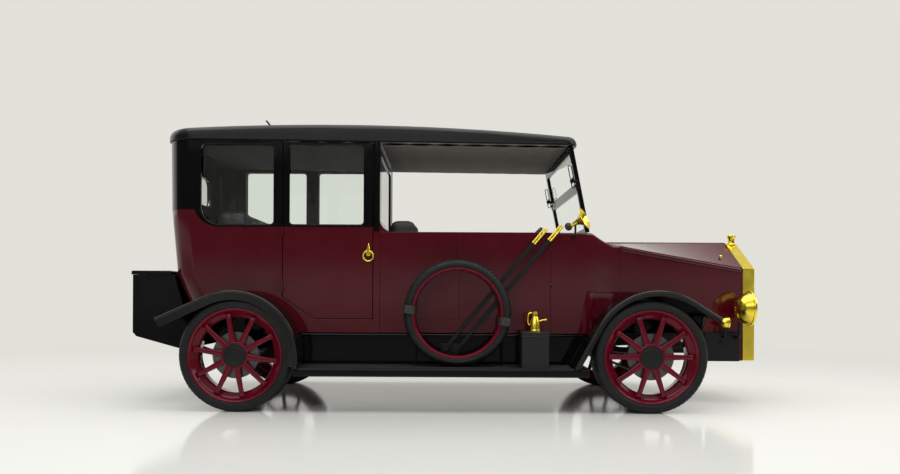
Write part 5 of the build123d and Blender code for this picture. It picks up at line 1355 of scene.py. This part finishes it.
# Steering: a black iron column from the bulkhead with a four-spoked wheel bound in black.
# The hinges are painted with the body; their barrels turn on plain steel pins.
bound_black = finished("bound_black", (0.014, 0.014, 0.014), 320, 24, (0.30, 0.48), 0.3, 0.0005)[0]
dress(bound_black, "steering_wheel")
dress(chassis_black, "steering_column")
dress(two_tone, "door_hinges")


# Door furniture and panel lines: pointed brass plates with drop rings on the rear doors.
# Black rebates close the doors' gaps from inside. Fine lines mark the panels of the fixed right side.
HANDLE_X = -0.537
HANDLE_TIP = 1.103
PLATE_RADIUS = 0.017
PLATE_ROUND_Z = 1.032
PLATE_MIDDLE = 1.040
PLATE_STEPS = ((0.0, 1.0), (0.004, 1.0), (0.006, 0.86))
RING_MIDDLE = 1.014
RING_RADIUS = 0.034
RING_WIRE = 0.0058
RING_LIFT = 0.013
RING_LEAN = 0.004
BOSS_RADIUS = 0.0085
plate_outline = [(0.0, HANDLE_TIP)]
for step in range(13):
    angle = radians(20 - 220 * step / 12)
    plate_outline.append((PLATE_RADIUS * cos(angle), PLATE_ROUND_Z + PLATE_RADIUS * sin(angle)))
for side_name, side in SIDES:
    body = f"{side_name}_rear_door"
    rings = []
    for out, grow in PLATE_STEPS:
        y = side * (BODY_HALF + out)
        rings.append([
            (HANDLE_X + x * grow, y, PLATE_MIDDLE + (z - PLATE_MIDDLE) * grow) for x, z in plate_outline
        ])
    sweep(f"handle_plate_{side_name}", rings, brass, body, 30)
    ring_path = []
    for step in range(32):
        along, up = cos(2 * pi * step / 32), sin(2 * pi * step / 32)
        y = side * (BODY_HALF + RING_LIFT + RING_LEAN * up)
        ring_path.append((HANDLE_X + RING_RADIUS * along, y, RING_MIDDLE + RING_RADIUS * up))
    tube(f"handle_ring_{side_name}", ring_path, RING_WIRE, brass, body, True, 5)
    boss = [(HANDLE_X, side * (BODY_HALF + out), z) for out, z in ((0.004, 1.046), (0.024, 1.047))]
    tube(f"handle_boss_{side_name}", boss, BOSS_RADIUS, brass, body)

REBATE_Y = (0.5620, 0.5745)
REBATE_HALF = 0.022
REBATE_TOP = 1.765
for side_name, side in SIDES:
    low_y, high_y = sorted(side * y for y in REBATE_Y)
    for edge_name, edge_x, bottom in (("rear", -1.1125, 0.745), ("front", -0.5120, 0.600)):
        low, high = (edge_x - REBATE_HALF, low_y, bottom), (edge_x + REBATE_HALF, high_y, REBATE_TOP)
        rebate_name = f"door_rebate_{edge_name}_{side_name}"
        rebate = smooth(new_object(rebate_name, block_mesh(low, high, 0, 0.003), black_lacquer))
        fitted(rebate, "chassis")

seam_dark = finished("panel_gap", (0.006, 0.0012, 0.0016), 300, 10, (0.6, 0.8), 0.05)[0]
SEAM_Y = -0.6203
SEAM_HALF = 0.0016
seam_rows = (
    # name, points of x and z
    ("rear_edge", ((0.073, 1.176), (0.073, 0.592))),
    ("front_edge", ((0.683, 1.176), (0.683, 0.592))),
    ("lower_edge", ((-0.458, 0.592), (0.688, 0.592))),
)
for seam_name, points in seam_rows:
    seam = [(x, SEAM_Y, z) for x, z in points]
    tube(f"panel_line_{seam_name}", seam, SEAM_HALF, seam_dark, "chassis", resolution=1)
SIDE_KNOB = (
    # radius, distance along the car's left
    (0.0, 0.0), (0.011, 0.0), (0.011, -0.003), (0.007, -0.006), (0.009, -0.012), (0.006, -0.016),
    (0.0, -0.017),
)
for knob_z in (0.822, 1.060):
    knob_place = (0.690, -BODY_HALF, knob_z)
    turned(f"side_knob_{round(1000 * knob_z)}", SIDE_KNOB, "Y", knob_place, maroon_lacquer, 20)


# Posts and windscreen fittings: a rounded black post at the partition with a curved foot on the belt.
# Slotted brackets with wing nuts hold the leaning upper windscreen; a stub aerial stands on the roof.
POST_X = (-0.500, -0.462)
POST_SINK = 0.001
POST_BULGE = 0.010
FOOT_CORNER = (-0.460, 1.1785)
FOOT_RADIUS = 0.085
FOOT_DEPTH = (0.040, 0.0005)
post_middle, post_half = (POST_X[0] + POST_X[1]) / 2, (POST_X[1] - POST_X[0]) / 2
foot_centre = [part + FOOT_RADIUS for part in FOOT_CORNER]
web = [FOOT_CORNER]
for step in range(13):
    angle = radians(180 + 90 * step / 12)
    web.append((foot_centre[0] + FOOT_RADIUS * cos(angle), foot_centre[1] + FOOT_RADIUS * sin(angle)))
for side_name, side in SIDES:
    rings = []
    for z in (1.180, 1.300, 1.500, 1.700, roof_edge_z(-0.48)):
        ring = []
        for step in range(13):
            angle = pi * step / 12
            y = side * (BODY_HALF - POST_SINK + POST_BULGE * sin(angle))
            ring.append((post_middle + post_half * cos(angle), y, z))
        rings.append(ring)
    sweep(f"partition_post_{side_name}", rings, black_lacquer, "chassis")
    rings = [[(x, side * (BODY_HALF - depth), z) for x, z in web] for depth in FOOT_DEPTH]
    sweep(f"post_foot_{side_name}", rings, maroon_lacquer, "chassis", 20)

SCREEN_LEAN = 0.198
BRACKET_Y = 0.592
SLOT_RADIUS = 0.011
SLOT_BACK = 0.034
NUT_Z = 1.530


def screen_x(z):
    """x of the windscreen's middle line at height z."""
    return 0.938 - SCREEN_LEAN * (z - BELT)


for side_name, side in SIDES:
    y = side * BRACKET_Y
    nut_x = screen_x(NUT_Z)
    slot_loop = []
    for middle_z, turn in ((1.622, 0), (1.492, 180)):
        for step in range(9):
            angle = radians(turn + 180 * step / 8)
            z = middle_z + SLOT_RADIUS * sin(angle)
            slot_loop.append((screen_x(z) - SLOT_BACK + SLOT_RADIUS * cos(angle), y, z))
    nut = ((nut_x - 0.050, y, NUT_Z), (nut_x + 0.004, y, NUT_Z - 0.006))
    wing = [(nut_x - 0.036, y + out, NUT_Z + up) for out, up in ((-0.02, 0.016), (0.02, -0.016))]
    clamp = [(screen_x(z) - 0.008, y, z) for z in (1.462, 1.505)]
    for fitting_name, path, radius, cyclic in (
        ("bracket", slot_loop, 0.0032, True), ("nut", nut, 0.011, False), ("wing", wing, 0.0065, False),
        ("clamp", clamp, 0.012, False),
    ):
        fitting = f"screen_{fitting_name}_{side_name}"
        tube(fitting, path, radius, black_lacquer, "chassis", cyclic)
AERIAL = ((-1.214, -0.500, 1.872), (-1.220, -0.500, 1.905), (-1.254, -0.500, 1.946))
tube("roof_aerial", AERIAL, 0.006, roof_black, "chassis")
